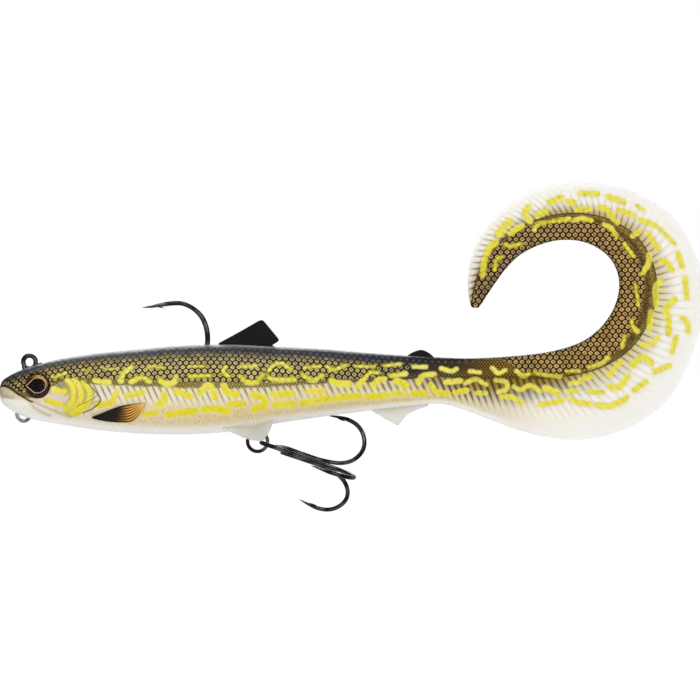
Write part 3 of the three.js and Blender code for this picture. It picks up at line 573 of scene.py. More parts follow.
def new_mesh(name, vertices, faces, attributes=None, normals=None):
    """An object from vertices in millimetres and a list of (faces, corners to a face)."""
    mesh = bpy.data.meshes.new(name)
    verts = np.asarray(vertices, np.float32) * MM
    faces = [np.asarray(f, np.int32).reshape(-1, k) for f, k in faces]
    mesh.vertices.add(len(verts))
    mesh.vertices.foreach_set("co", verts.ravel())
    loops = np.concatenate([f.ravel() for f in faces])
    sizes = np.concatenate([np.full(len(f), f.shape[1], np.int32) for f in faces])
    mesh.loops.add(len(loops))
    mesh.loops.foreach_set("vertex_index", loops)
    mesh.polygons.add(len(sizes))
    mesh.polygons.foreach_set("loop_start", np.concatenate([[0], np.cumsum(sizes)[:-1]]).astype(np.int32))
    mesh.update(calc_edges=True)
    mesh.validate()
    mesh.polygons.foreach_set("use_smooth", np.ones(len(sizes), bool))
    for key, values in (attributes or {}).items():
        values = np.asarray(values, np.float32)
        width = 1 if values.ndim == 1 else values.shape[1]
        kind, field = ATTRIBUTE_KINDS[width]
        mesh.attributes.new(key, kind, "POINT").data.foreach_set(field, values.ravel())
    if normals is not None:
        mesh.normals_split_custom_set_from_vertices([tuple(n) for n in normals])
    obj = bpy.data.objects.new(name, mesh)
    bpy.context.scene.collection.objects.link(obj)
    return obj


def grid_faces(rows, cols, wrap):
    """Quads of a grid of rows by cols vertices, whose columns close on themselves if wrap is set."""
    i, j = np.meshgrid(np.arange(rows - 1), np.arange(cols if wrap else cols - 1), indexing="ij")
    k = (j + 1) % cols
    return np.stack([i * cols + j, (i + 1) * cols + j, (i + 1) * cols + k, i * cols + k], -1).reshape(-1, 4)


# ---- Shader helpers -------------------------------------------------------------------------------------


class Value:
    """A socket in a node tree, or a number, with arithmetic that adds math nodes."""

    def __init__(self, tree, socket):
        self.tree, self.socket = tree, socket

    def math(self, operation, *others):
        node = self.tree.nodes.new("ShaderNodeMath")
        node.operation = operation
        for slot, value in zip(node.inputs, (self, *others)):
            connect(self.tree, value, slot)
        return Value(self.tree, node.outputs[0])

    def __add__(self, other):
        return self.math("ADD", other)

    def __sub__(self, other):
        return self.math("SUBTRACT", other)

    def __mul__(self, other):
        return self.math("MULTIPLY", other)

    def inverse(self):
        """1 minus this."""
        return (self * -1.0) + 1.0

    def over(self, colour, factor):
        """This colour with another laid over it."""
        return mix_colour(self.tree, self, colour, factor)

    def smooth(self, a, b):
        """0 at a and 1 at b, with a smooth step between."""
        node = self.tree.nodes.new("ShaderNodeMapRange")
        node.interpolation_type = "SMOOTHSTEP"
        connect(self.tree, self, node.inputs["Value"])
        low, high, start, end = (a, b, 0.0, 1.0) if a < b else (b, a, 1.0, 0.0)
        for key, value in (("From Min", low), ("From Max", high), ("To Min", start), ("To Max", end)):
            node.inputs[key].default_value = value
        return Value(self.tree, node.outputs[0])


def connect(tree, value, slot):
    """Links a Value to a socket, or sets the socket to a number or colour."""
    if isinstance(value, Value):
        tree.links.new(value.socket, slot)
    elif isinstance(value, (int, float)):
        slot.default_value = value
    else:
        slot.default_value = (*value[:3], 1.0) if len(slot.default_value) == 4 else tuple(value[:3])


def attribute(tree, name, output="Fac"):
    """A value painted on the mesh's points."""
    node = tree.nodes.new("ShaderNodeAttribute")
    node.attribute_name = name
    return Value(tree, node.outputs[output])


def split(tree, vector):
    """A vector's three values."""
    node = tree.nodes.new("ShaderNodeSeparateXYZ")
    tree.links.new(vector.socket, node.inputs[0])
    return [Value(tree, node.outputs[k]) for k in range(3)]


def mix_colour(tree, a, b, factor):
    """Colour a where factor is 0, and b where it is 1."""
    node = tree.nodes.new("ShaderNodeMix")
    node.data_type = "RGBA"
    node.clamp_factor = True
    for slot, value in ((0, factor), (6, a), (7, b)):
        connect(tree, value, node.inputs[slot])
    return Value(tree, node.outputs[2])


def noise_node(tree, scale, detail=2.0):
    """Noise fixed to the object, scale waves to the metre."""
    node = tree.nodes.new("ShaderNodeTexNoise")
    node.inputs["Scale"].default_value = scale
    node.inputs["Detail"].default_value = detail
    coordinates = tree.nodes.new("ShaderNodeTexCoord")
    tree.links.new(coordinates.outputs["Object"], node.inputs["Vector"])
    return Value(tree, node.outputs["Fac"])


def bump(tree, height, distance, strength=1.0):
    """A normal that follows a height of 0 to 1 times distance, in metres."""
    node = tree.nodes.new("ShaderNodeBump")
    node.inputs["Distance"].default_value = distance
    node.inputs["Strength"].default_value = strength
    connect(tree, height, node.inputs["Height"])
    return Value(tree, node.outputs["Normal"])


def material(name, **sockets):
    """A new principled material: itself, its tree and its shader, with constants set on the sockets."""
    mat = bpy.data.materials.new(name)
    mat.use_nodes = True
    shader = mat.node_tree.nodes["Principled BSDF"]
    for key, value in sockets.items():
        shader.inputs[key.replace("_", " ")].default_value = value
    return mat, mat.node_tree, shader


def feed(shader, **values):
    """Links each value to the shader's socket of that name."""
    for key, value in values.items():
        value.tree.links.new(value.socket, shader.inputs[key.replace("_", " ")])


# ---- Materials ------------------------------------------------------------------------------------------


def net_nodes(tree, vector, scale=1.0):
    """The same lattice as net_distance, as nodes."""
    x, y = split(tree, vector)[:2]
    x, y = x * (1 / (SCALE_PITCH * scale)), y * (1 / (2 * SCALE_ROW * scale))

    def centre_distance(shift):
        dx = ((x + (0.5 - shift)).math("FRACT") - 0.5).math("ABSOLUTE")
        dy = ((y + (0.5 - shift)).math("FRACT") - 0.5).math("ABSOLUTE")
        return (dx * dx + dy * dy * 3.0).math("SQRT") * CELL_ROUND + (dx + dy) * (1 - CELL_ROUND)

    return centre_distance(0.0).math("MINIMUM", centre_distance(0.5))


def stripe_nodes(coordinate):
    """The same stripes as stripe_distance, as nodes."""
    return (coordinate.math("FRACT") - 0.5).math("ABSOLUTE") * 2.0


SKIN_FIELDS = ("scaly", "slate", "small", "hatch", "ribby", "broad", "streaky", "clear", "tail")


def soft_skin():
    """The painted soft plastic. Its patterns are drawn on the fields that build_skin puts on the mesh."""
    mat, tree, shader = material("soft_skin", Roughness=0.4, Specular_IOR_Level=0.08, Coat_Weight=0.04,
                                 Coat_Roughness=0.1, IOR=1.45, Subsurface_Weight=0.1, Subsurface_Scale=0.0015,
                                 Subsurface_Radius=(1.0, 0.8, 0.5))
    tint = attribute(tree, "tint", "Color")
    where = attribute(tree, "where", "Vector")
    ray = attribute(tree, "ray")
    scaly, slate, small, hatch, ribby, broad, streaky, clear, tail, mark, line, ridge = (
        attribute(tree, name) for name in SKIN_FIELDS + ("mark", "line", "ridge"))
    wobble, coarse, cells = noise_node(tree, 900.0), noise_node(tree, 160.0), noise_node(tree, 520.0, 1.0)

    # Large scales: dark outlines, a lighter ring inside each, and a little difference from one to the next.
    net = net_nodes(tree, where)
    outline = net.smooth(0.32, 0.44)
    ring = (net - 0.28).math("ABSOLUTE").smooth(0.09, 0.02)
    body = scaly * slate.inverse()
    colour = tint.over((0.02, 0.013, 0.006), cells.smooth(0.6, 0.35) * scaly * 0.4)
    colour = colour.over((0.66, 0.46, 0.2), cells.smooth(0.5, 0.72) * body * 0.3)
    colour = colour.over((0.95, 0.82, 0.48), ring * body * (tail * -0.02 + 0.28))
    colour = colour.over((0.06, 0.035, 0.012), net.smooth(0.2, 0.05) * body * (tail * 0.25 + 0.3))
    # Painted highlight: blue-grey centres on the back's scales stand for the gloss on each scale's bump.
    colour = colour.over((0.16, 0.17, 0.2), net.smooth(0.3, 0.1) * slate * 0.35)
    colour = colour.over((0.004, 0.003, 0.001), outline * scaly * (slate * -0.72 + 0.97))

    fine = net_nodes(tree, where, FINE_SHARE)
    colour = colour.over((0.012, 0.008, 0.003), fine.smooth(0.26, 0.48) * small * (broad * 0.2 + 0.75))
    colour = colour.over((0.85, 0.62, 0.25), fine.smooth(0.2, 0.05) * small * tail * 0.3)
    mottle = noise_node(tree, 1900.0).smooth(0.58, 0.42) * 0.75
    colour = colour.over((0.015, 0.009, 0.004), mottle * hatch)

    # Ribs: thin dark grooves on the flank, broad brown stripes on the stem, fine rays on the tail's membrane.
    rib = stripe_nodes(ray)
    rib_line = rib.smooth(0.24, 0.05)
    fade = (ridge + tail * 2.0 - broad * 3.0).smooth(9.5, 1.5) * 0.82 + 0.18
    # Painted highlight: a whitish sheen on the flank between the ribs' grooves.
    light = ribby * broad.inverse() * (tail * -0.6 + 1.0)
    colour = colour.over((0.93, 0.90, 0.85), rib.smooth(0.45, 0.75) * light * 0.35)
    colour = colour.over((0.075, 0.04, 0.012), rib.smooth(0.8, 0.25) * broad * ribby
                         * ridge.smooth(10.5, 4.0) * 0.74)
    colour = colour.over((0.035, 0.022, 0.011), rib_line * ribby * fade * 0.8)
    colour = colour.over((0.02, 0.012, 0.005), ridge.math("ABSOLUTE").smooth(0.3, 0.12) * tail * 0.85)
    belly = stripe_nodes((ray + coarse * 0.9) * (1 / BELLY_SHARE))
    colour = colour.over((0.50, 0.37, 0.18), belly.smooth(0.8, 0.2) * streaky
                         * (wobble.smooth(0.4, 0.6) * 0.55 + 0.15))

    # Yellow marks, with the scales' outlines biting into their edges.
    edge = mark + (wobble - 0.5) * 0.55 + (net - 0.1) * scaly * 0.55
    pale = (ribby + streaky) * (broad + tail).smooth(0.6, 0.1)
    edge = edge - 0.27 - pale * 0.14 + broad * 0.12
    rim = mix_colour(tree, (0.70, 0.60, 0.14), (0.33, 0.29, 0.02), scaly)
    yellow = rim.over(attribute(tree, "mark_tint", "Color"), edge.smooth(-0.05, -0.6))
    yellow = yellow.over((0.36, 0.30, 0.02), wobble.smooth(0.52, 0.7) * 0.4)
    yellow = yellow.over((0.40, 0.35, 0.03), net.smooth(0.26, 0.46) * scaly * 0.35)
    yellow = yellow.over((0.84, 0.80, 0.26), coarse.smooth(0.48, 0.66) * 0.2)
    painted = edge.smooth(0.38, -0.3)
    halo = edge.smooth(1.2, 0.2) * (pale + clear).math("MINIMUM", 1.0)
    colour = colour.over((0.84, 0.78, 0.40), halo * 0.25)
    colour = colour.over(yellow, painted * 0.97)
    colour = colour.over((0.02, 0.014, 0.007), line.smooth(0.16, -0.1) * 0.93)

    height = outline * scaly * -0.8 + fine.smooth(0.3, 0.5) * small * -0.4 + rib_line * ribby * -0.7
    height = height + belly.smooth(0.7, 0.2) * streaky * -0.3 + wobble * 0.12 + mottle * hatch * -0.5
    alpha = clear * -0.5 * painted.inverse() + 1.0
    feed(shader, Base_Color=colour, Normal=bump(tree, height, 0.00012), Alpha=alpha)
    return mat


def black_steel():
    mat, tree, shader = material("black_nickel", Metallic=1.0)
    coarse, fine = noise_node(tree, 220.0, 4.0), noise_node(tree, 2600.0, 2.0)
    colour = mix_colour(tree, (0.011, 0.010, 0.009), (0.092, 0.087, 0.081), coarse.smooth(0.35, 0.7))
    feed(shader, Base_Color=colour, Roughness=fine * 0.08 + 0.15, Normal=bump(tree, fine, 0.00002, 0.3))
    return mat


def bare_steel():
    mat, tree, shader = material("bright_steel", Metallic=1.0)
    coarse, fine = noise_node(tree, 300.0, 3.0), noise_node(tree, 3000.0, 2.0)
    colour = mix_colour(tree, (0.11, 0.105, 0.10), (0.36, 0.35, 0.34), coarse.smooth(0.3, 0.7))
    feed(shader, Base_Color=colour, Roughness=fine * 0.08 + 0.1)
    return mat


def lead_metal():
    mat, tree, shader = material("cast_lead", Metallic=0.9)
    cloud, grain = noise_node(tree, 250.0, 5.0), noise_node(tree, 1500.0, 3.0)
    colour = mix_colour(tree, (0.10, 0.105, 0.115), (0.27, 0.275, 0.29), cloud.smooth(0.3, 0.7))
    feed(shader, Base_Color=colour, Roughness=cloud * 0.3 + 0.4, Normal=bump(tree, grain, 0.00008, 0.6))
    return mat


def black_fin():
    mat, tree, shader = material("black_fin", Roughness=0.6, Specular_IOR_Level=0.12)
    grain = noise_node(tree, 1800.0, 3.0)
    rays = stripe_nodes(attribute(tree, "ray"))
    colour = mix_colour(tree, (0.0015, 0.0015, 0.002), (0.009, 0.009, 0.01), rays.smooth(0.2, 0.8) * grain)
    feed(shader, Base_Color=colour, Normal=bump(tree, rays.smooth(0.1, 0.9) + grain * 0.4, 0.00008, 0.6))
    return mat


def clear_fin():
    mat, tree, shader = material("clear_fin", Roughness=0.32, IOR=1.45, Subsurface_Weight=0.1,
                                 Subsurface_Scale=0.001)
    rays = stripe_nodes(attribute(tree, "ray"))
    out = attribute(tree, "out")
    line = rays.smooth(0.5, 0.15)
    colour = mix_colour(tree, (0.74, 0.69, 0.53), (0.84, 0.83, 0.78), out.smooth(0.05, 0.7))
    colour = colour.over((0.22, 0.17, 0.11), line * attribute(tree, "ink"))
    feed(shader, Base_Color=colour, Normal=bump(tree, line * -1.0, 0.0001, 0.8))
    feed(shader, Alpha=out.smooth(0.0, 0.25) * -0.42 + 1.0 + line * 0.15)
    return mat


def orange_fin():
    mat, tree, shader = material("orange_fin", Roughness=0.35, Specular_IOR_Level=0.12, Coat_Weight=0.04)
    along, out = attribute(tree, "along"), attribute(tree, "out")
    rays = stripe_nodes(attribute(tree, "ray"))
    grain = noise_node(tree, 700.0, 3.0)
    fire = mix_colour(tree, (0.40, 0.13, 0.015), (0.84, 0.46, 0.08), along.smooth(0.35, 0.85))
    fire = fire.over((0.93, 0.68, 0.28), along.smooth(0.82, 1.0) * 0.8)
    reach = along + out * 0.16 + (grain - 0.5) * 0.1
    colour = fire.over((0.008, 0.005, 0.003), reach.smooth(0.78, 0.5))
    dark_ray = rays.smooth(0.7, 0.2) * along.smooth(1.0, 0.75)
    colour = colour.over((0.018, 0.009, 0.004), dark_ray * 0.9)
    rim = (out.smooth(0.06, 0.0)).math("MAXIMUM", out.smooth(0.97, 1.0) * 0.3)
    colour = colour.over((0.02, 0.015, 0.01), rim * along.smooth(1.0, 0.9) * 0.9)
    feed(shader, Base_Color=colour, Normal=bump(tree, rays.smooth(0.15, 0.6), 0.00015, 0.8))
    return mat


def eye_print():
    mat, tree, shader = material("eye_print", Roughness=0.4, Specular_IOR_Level=0.05)
    u, v, radius = split(tree, attribute(tree, "where", "Vector"))
    pupil = attribute(tree, "pupil")
    grain = noise_node(tree, 1500.0, 4.0)
    gold = (u * 0.55 + v * 0.85).smooth(0.6, 3.2) * radius.smooth(3.9, 3.3)
    colour = mix_colour(tree, (0.018, 0.005, 0.003), (0.46, 0.30, 0.06), gold * (grain * 0.5 + 0.55))
    colour = colour.over((0.12, 0.035, 0.014), radius.smooth(3.4, 3.7) * radius.smooth(4.0, 3.7) * 0.5)
    colour = colour.over((0.012, 0.008, 0.006), radius.smooth(3.95, 4.15))
    colour = colour.over((0.55, 0.36, 0.25), (pupil - 0.36).math("ABSOLUTE").smooth(0.2, 0.06) * 0.9)
    colour = colour.over((0.002, 0.002, 0.002), pupil.smooth(0.26, 0.1))
    feed(shader, Base_Color=colour)
    return mat


def clear_resin():
    """Only the gloss of the eye's dome: nearly clear, and brighter where it is seen edge on."""
    mat, tree, shader = material("clear_resin", Roughness=0.03, Metallic=1.0)
    haze = noise_node(tree, 500.0)
    colour = mix_colour(tree, (0.95, 0.95, 0.94), (1.0, 1.0, 1.0), haze)
    feed(shader, Base_Color=colour)
    gloss = tree.nodes.new("ShaderNodeLayerWeight")
    gloss.inputs["Blend"].default_value = 0.5
    facing = Value(tree, gloss.outputs["Facing"])
    feed(shader, Alpha=facing.math("POWER", 5.0) * 0.14 + 0.006)
    return mat


# ---- The soft skin --------------------------------------------------------------------------------------

# Pieces of the skin: name, first and last station, the CAD node it stands for, the body it rides on or the
# two that it bends between, and the x and z where its bend starts and ends.
SKIN_PIECES = [
    ("skin_head", 0, 6.35, "trunk", "trunk", None),
    ("skin_trunk", 6.35, 10.55, None, "trunk", None),
    ("skin_rear_body", 10.55, 12.75, "rear_body", ("trunk", "rear_body"), ((101, -7), (115.2, -7))),
    ("skin_waist", 12.75, 15.65, "tail_stem", ("rear_body", "tail_stem"), ((135, -6.7), (152.6, -6.7))),
    ("skin_stem", 15.65, 19.6, "curl_lower", ("tail_stem", "curl_lower"), ((158.3, -9.9), (176.2, -10.9))),
    ("skin_curl", 19.6, 26.3, "curl_upper", ("curl_lower", "curl_upper"), ((212.6, 11.8), (219.2, 24.1))),
    ("skin_tip", 26.3, LAST, "curl_tip", ("curl_upper", "curl_tip"), ((189.0, 50.0), (175.3, 52.7))),
]


def finish(obj, mat, body, node, bend=None):
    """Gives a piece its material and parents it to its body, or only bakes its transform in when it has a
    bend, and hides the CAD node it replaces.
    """
    obj.data.materials.append(mat)
    if bend:
        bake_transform(obj)
    else:
        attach(obj, body)
    if node:
        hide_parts(node)


def skin_relief(f, g, net, fine, rib, belly, line, eye):
    """How far the skin stands out of its smooth shape."""
    scales = SCALE_RAISE * smooth(0.52, 0.2, net) * f["scaly"] * (1 - 0.4 * f["slate"])
    relief = scales + SMALL_RAISE * smooth(0.5, 0.2, fine) * f["small"]
    relief = relief - RIB_GROOVE * smooth(0.45, 0.0, rib) * f["ribby"]
    relief = relief - STREAK_GROOVE * smooth(0.7, 0.1, belly) * f["streaky"]
    relief = relief + COVER_RAISE * f["cover"] - LINE_GROOVE * smooth(0.35, -0.05, line) * (1 - f["cover"])
    relief = relief + SOCKET_RIM * smooth(1.1, 0.3, np.abs(eye - 4.75)) - SOCKET_DEPTH * smooth(4.6, 4.2, eye)
    return relief * np.minimum(1, np.minimum(g, g[:, -1:] - g) / 0.8)


def build_skin():
    """The whole skin as one grid, with its relief and paint, cut into pieces at the joints."""
    s = station_grid()
    t, g = half_sections(s)
    height = heights(columns(s))[:, None]
    grid_s = np.broadcast_to(s[:, None], t.shape)
    pos = ring_positions(s, t)
    x, y, z = np.moveaxis(pos[:, :AROUND + 1], -1, 0)
    f = skin_fields(grid_s, t, x, z)
    flat = smooth(13.5, 15.5, grid_s)
    wander = 0.1 + 0.08 * flat
    along = arc_length(s, 0.22)[:, None] * (1 - flat) + (x + 10) * flat + wander * noise(x, z, 11, WANDER)
    down = g * (1 - flat) + (3 - z) * flat + wander * noise(x, z, 12, WANDER)
    ray = rib_count(grid_s, t, height, f["ridge"])
    seen_x = PICTURE_X + (x - PICTURE_X) * (1 + np.abs(y) / (CAMERA_DISTANCE / MM))
    mark = stroke_field(MARKS, seen_x, z)
    line = stroke_field(LINES, x, z)

    net = net_distance(along, down)
    fine = net_distance(along / FINE_SHARE, down / FINE_SHARE)
    belly = stripe_distance(ray / BELLY_SHARE)
    eye = np.hypot(x - EYE_CENTRE[0], z - EYE_CENTRE[1])
    relief = skin_relief(f, g, net, fine, stripe_distance(ray), belly, line, eye)
    pos = pos + grid_normals(pos) * around(relief)[..., None]
    normals = grid_normals(pos)

    olive = f["cover"] * smooth(1.5, 0.4, mark) * smooth(11.5, 13, x) * 0.95
    tint = mixed(f["tint"], OLIVE, olive)
    # Painted shade: a soft brown darkening along the jaw's folds.
    tint = mixed(tint, FOLD_SHADE, smooth(0.8, 0.0, stroke_field(SHADED_FOLDS, x, z)) * 0.45)
    mark_tint = mixed(MARK_TOP, MARK_LOW, np.clip((t - 0.15) / 0.5, 0, 1))
    mark_tint = mixed(mark_tint, MARK_TAIL, f["tail"])
    fields = {key: f[key] for key in SKIN_FIELDS}
    fields.update(mark=mark, line=line, ray=ray, ridge=(t - f["ridge"]) * height)
    fields["where"] = np.stack([along, down, np.zeros_like(g)], -1)
    for key, colour in (("tint", tint), ("mark_tint", mark_tint)):
        fields[key] = np.concatenate([colour, np.ones((*g.shape, 1))], -1)
    paint = soft_skin()
    for name, first, last, node, bodies, bend in SKIN_PIECES:
        rows = slice(np.searchsorted(s, first), min(np.searchsorted(s, last) + 1, len(s)))
        ring = pos[rows]
        cols = ring.shape[1]
        verts, norms = ring.reshape(-1, 3), normals[rows].reshape(-1, 3)
        attributes = {key: around(v[rows]).reshape(len(verts), *v.shape[2:]) for key, v in fields.items()}
        faces = [(grid_faces(len(ring), cols, True)[:, ::-1], 4)]
        for is_end, row in ((first == 0, 0), (last == LAST, len(ring) - 1)):
            if is_end:
                verts, norms, faces, attributes = round_end(verts, norms, faces, attributes, row, cols)
        obj = new_mesh(name, verts, faces, attributes, norms)
        bend = bend and [(bend_x, 0, bend_z) for bend_x, bend_z in bend]
        finish(obj, paint, bodies, node, bend)


def round_end(verts, norms, faces, attributes, row, cols):
    """Closes one end of a piece with a dome of shrinking rings."""
    ring = verts[row * cols:(row + 1) * cols]
    centre = ring.mean(0)
    inner = row + 3 if row == 0 else row - 3
    out = centre - verts[inner * cols:(inner + 1) * cols].mean(0)
    out /= np.linalg.norm(out)
    reach = 0.5 * np.linalg.norm(ring - centre, axis=1).min() + 0.25
    rings, normal_rings = [], []
    for k in range(1, CAP + 1):
        a = 0.5 * math.pi * k / (CAP + 0.4)
        rings.append(centre + (ring - centre) * math.cos(a) + out * reach * math.sin(a))
        n = norms[row * cols:(row + 1) * cols] * math.cos(a) + out * math.sin(a)
        normal_rings.append(n / np.linalg.norm(n, axis=1, keepdims=True))
    base = len(verts)
    verts = np.vstack([verts, *rings, centre + out * reach])
    norms = np.vstack([norms, *normal_rings, out])
    first = np.arange(row * cols, (row + 1) * cols)
    loops = [first] + [base + np.arange(k * cols, (k + 1) * cols) for k in range(CAP)]
    quads = []
    for a, b in zip(loops[:-1], loops[1:]):
        quad = np.stack([a, b, np.roll(b, -1), np.roll(a, -1)], -1)
        quads.append(quad if row == 0 else quad[:, ::-1])
    tip = np.full(cols, len(verts) - 1)
    fan = np.stack([loops[-1], tip, np.roll(loops[-1], -1)], -1)
    fan = fan if row == 0 else fan[:, ::-1]
    grown = {}
    for key, values in attributes.items():
        own = values[row * cols:(row + 1) * cols]
        grown[key] = np.concatenate([values] + [own] * CAP + [own[:1]])
    return verts, norms, faces + [(np.vstack(quads), 4), (fan, 3)], grown


# ---- Wires ----------------------------------------------------------------------------------------------


def evened(line, count):
    """That many points, evenly spaced along a line."""
    length = lengths(line)
    even = np.linspace(0, length[-1], count)
    return np.stack([np.interp(even, length, column) for column in line.T], 1)


def smooth_path(points, spacing):
    """Evenly spaced points on a smooth curve through the given ones."""
    p = np.array(points, float)
    q = with_ends(p)
    f = np.linspace(0, 1, 24, endpoint=False)[:, None]
    dense = []
    for i in range(len(p) - 1):
        a, b, c, d = q[i:i + 4]
        k1, k2, k3 = np.sqrt(np.maximum(np.linalg.norm([b - a, c - b, d - c], axis=1), 1e-6))
        m1 = (c - b) + k2 * ((b - a) / k1 - (c - a) / (k1 + k2))
        m2 = (c - b) + k2 * ((d - c) / k3 - (d - b) / (k2 + k3))
        dense.append((2 * f**3 - 3 * f**2 + 1) * b + (f**3 - 2 * f**2 + f) * m1
                     + (-2 * f**3 + 3 * f**2) * c + (f**3 - f**2) * m2)
    dense = np.vstack(dense + [p[-1:]])
    return evened(dense, max(2, int(lengths(dense)[-1] / spacing)) + 1)


def tube(path, radius, sides, flat=None, power=1.0):
    """A wire along path. radius and flat are its half sizes in the fish's middle plane and across it, as
    numbers or one per point. power over 1 squares the section."""
    n = len(path)
    radius = np.broadcast_to(np.asarray(radius, float), (n,))
    flat = radius if flat is None else np.broadcast_to(np.asarray(flat, float), (n,))
    along = np.gradient(path, axis=0)
    along /= np.linalg.norm(along, axis=1, keepdims=True)
    rings = np.empty((n, sides, 3))
    u = np.array([0.0, 1.0, 0.0])
    angle = 2 * np.pi * (np.arange(sides) + 0.5) / sides
    c, d = np.cos(angle), np.sin(angle)
    c, d = np.sign(c) * np.abs(c) ** (1 / power), np.sign(d) * np.abs(d) ** (1 / power)
    for i in range(n):
        u = u - along[i] * (u @ along[i])
        u /= np.linalg.norm(u)
        w = np.cross(along[i], u)
        rings[i] = path[i] + np.outer(c, u) * flat[i] + np.outer(d, w) * radius[i]
    verts = rings.reshape(-1, 3)
    quads = grid_faces(n, sides, True)[:, ::-1]
    start, end = np.arange(sides), (n - 1) * sides + np.arange(sides)
    bulge = radius[[0, -1], None] * 0.3
    verts = np.vstack([verts, path[0] - along[0] * bulge[0], path[-1] + along[-1] * bulge[1]])
    a, b = len(verts) - 2, len(verts) - 1
    caps = np.vstack([
        np.stack([np.full(sides, a), np.roll(start, -1), start], -1),
        np.stack([np.full(sides, b), end, np.roll(end, -1)], -1),
    ])
    return verts, [(quads, 4), (caps, 3)]


def merged(name, parts):
    """One object from several (vertices, faces) parts."""
    verts, faces, base = [], [], 0
    for v, fs in parts:
        verts.append(v)
        faces += [(np.asarray(f) + base, k) for f, k in fs]
        base += len(v)
    return new_mesh(name, np.vstack(verts), faces)


def arc(cx, cz, radius, start, end, count):
    """Points of an arc in the fish's middle plane, from and to angles in degrees."""
    a = np.radians(np.linspace(start, end, count))
    return [(cx + radius * math.cos(v), 0, cz + radius * math.sin(v)) for v in a]


def hook_radius(path, wire, taper):
    """The wire's radius along a hook: full, then down to a needle point over the last taper millimetres."""
    length = lengths(path)
    left = length[-1] - length
    return wire / 2 * np.clip(left / taper, 0.02, 1) ** 0.6


def barb(root, back, out, length):
    """A thin wedge lifted from the hook's wire: its root lies on the wire and its tip stands off it."""
    root, back, out = (np.array(v, float) for v in (root, back, out))
    back, out = back / np.linalg.norm(back), out / np.linalg.norm(out)
    tip = root + back * length + out * length * 0.3
    path = smooth_path([root - back * length * 0.55 - out * 0.25, root, tip], 0.12)
    radius = np.interp(np.linspace(0, 1, len(path)), [0, 0.35, 1], [0.3, 0.34, 0.03])
    return tube(path, radius, 12)


JIG_WIRE = 1.6
TREBLE_WIRE = 1.5
LOOP_WIRE = 1.2
SHANK_Z = -7.1  # the jig hook's shank, inside the body
RING_X, RING_Z = 78.2, -27.3
RING_RADIUS = 3.42  # to the middle of its wire
BAR_Z = RING_Z + 1.75  # the bar of the hanger's eye, which the ring hangs on
DROOP = math.radians(18.7)  # the treble's shank, below the horizontal
SHANK_OUT = 1.04  # from the treble's axis to the middle of each shank
SHANK_END = 15  # along the axis, the last point before each hook's bend


def jig_hook(steel):
    eye = [(4.3, 0, -0.9), (3.3, 0, -1.15), (2.45, 0, -1.1)] + arc(0, 0, 2.13, -15, 205, 14)
    neck = [(-1.75, 0, -2.2), (-1.3, 0, -3.9), (-0.2, 0, -5.5), (1.6, 0, -6.7), (4.2, 0, SHANK_Z)]
    bend = arc(46, SHANK_Z + 15.1, 15.1, -82, 0, 9)
    over = [(60.6, 0, 11.8), (58.9, 0, 15.6), (55.8, 0, 18.5), (52.3, 0, 20.0), (48.9, 0, 20.05),
            (45.4, 0, 19.6), (42, 0, 18.95), (38.7, 0, 18.6)]
    path = smooth_path(eye + neck + [(46, 0, SHANK_Z)] + bend + over, 0.3)
    radius = hook_radius(path, JIG_WIRE, 8.5)
    forged = smooth(-3, 9, path[:, 2]) * smooth(56, 60.5, path[:, 0])
    body = tube(path, radius * (1 + 0.12 * forged), 28, flat=radius * (1 - 0.22 * forged))
    wedge = barb((44.6, 0, 18.9), (1, 0, -0.02), (0.1, 0, -1), 1.9)
    closing = tube(smooth_path(arc(0, 0, 2.05, -165, -5, 12), 0.2), 0.55, 20)
    finish(merged("jig_hook_wire", [body, wedge, closing]), steel, "trunk", "jig_hook")


def treble_point(along, up, sideways):
    """A point along the treble's axis from its eye, above it, and to the side."""
    return (RING_X + along * math.cos(DROOP) + up * math.sin(DROOP), sideways,
            RING_Z - along * math.sin(DROOP) + up * math.cos(DROOP))


def spoke(turn, along, out):
    """A point along the treble's axis and out from it, in the plane of the hook at that turn in degrees."""
    turn = math.radians(turn)
    return treble_point(along, out * math.sin(turn), out * math.cos(turn))


# A hook of the treble: how far along and out from its axis.
BEND = [(22, 1.04), (25.5, 1.4), (29, 2.2), (32.2, 4.0), (34.4, 6.9), (35.2, 10.0), (34.7, 13.0),
        (33.0, 15.9), (30.4, 17.9), (27, 18.7), (23.4, 18.4), (20, 17.7)]
TURNS = [65, 185, 305]


def treble(steel):
    def arm(turn):
        return [spoke(turn, SHANK_END, SHANK_OUT)] + [spoke(turn, *point) for point in BEND]

    def wedge(turn):
        points = ((24.6, 17.95), (25.6, 18.1), (24.6, 16.9))
        root, back, out = (np.array(spoke(turn, *point)) for point in points)
        return barb(root, back - root, out - root, 1.8)

    def radius(path):
        return hook_radius(path, TREBLE_WIRE, 7.0)

    eye = [(6.6, 0.3, 1.0), (5.2, 0, 1.75), (3.6, 0, 2.05), (2.0, 0, 1.5), (1.4, 0, 0), (2.0, 0, -1.5),
           (3.6, 0, -2.05), (5.2, 0, -1.75), (6.6, 0, -1.1)]
    eye = [treble_point(*p) for p in eye]
    first, second, third = TURNS
    neck = 9.5
    pair = smooth_path(arm(first)[::-1] + [spoke(first, neck, SHANK_OUT)] + eye
                       + [spoke(second, neck, SHANK_OUT)] + arm(second), 0.28)
    both = np.minimum(radius(pair), radius(pair[::-1])[::-1])
    wire = merged("treble_pair_wire", [tube(pair, both, 26), wedge(first), wedge(second)])
    finish(wire, steel, "treble", "treble_hook_pair")
    single = smooth_path([spoke(third, 8.8, SHANK_OUT)] + arm(third), 0.28)
    wire = merged("treble_third_wire", [tube(single, radius(single), 26), wedge(third)])
    finish(wire, steel, "treble", "treble_hook_third")


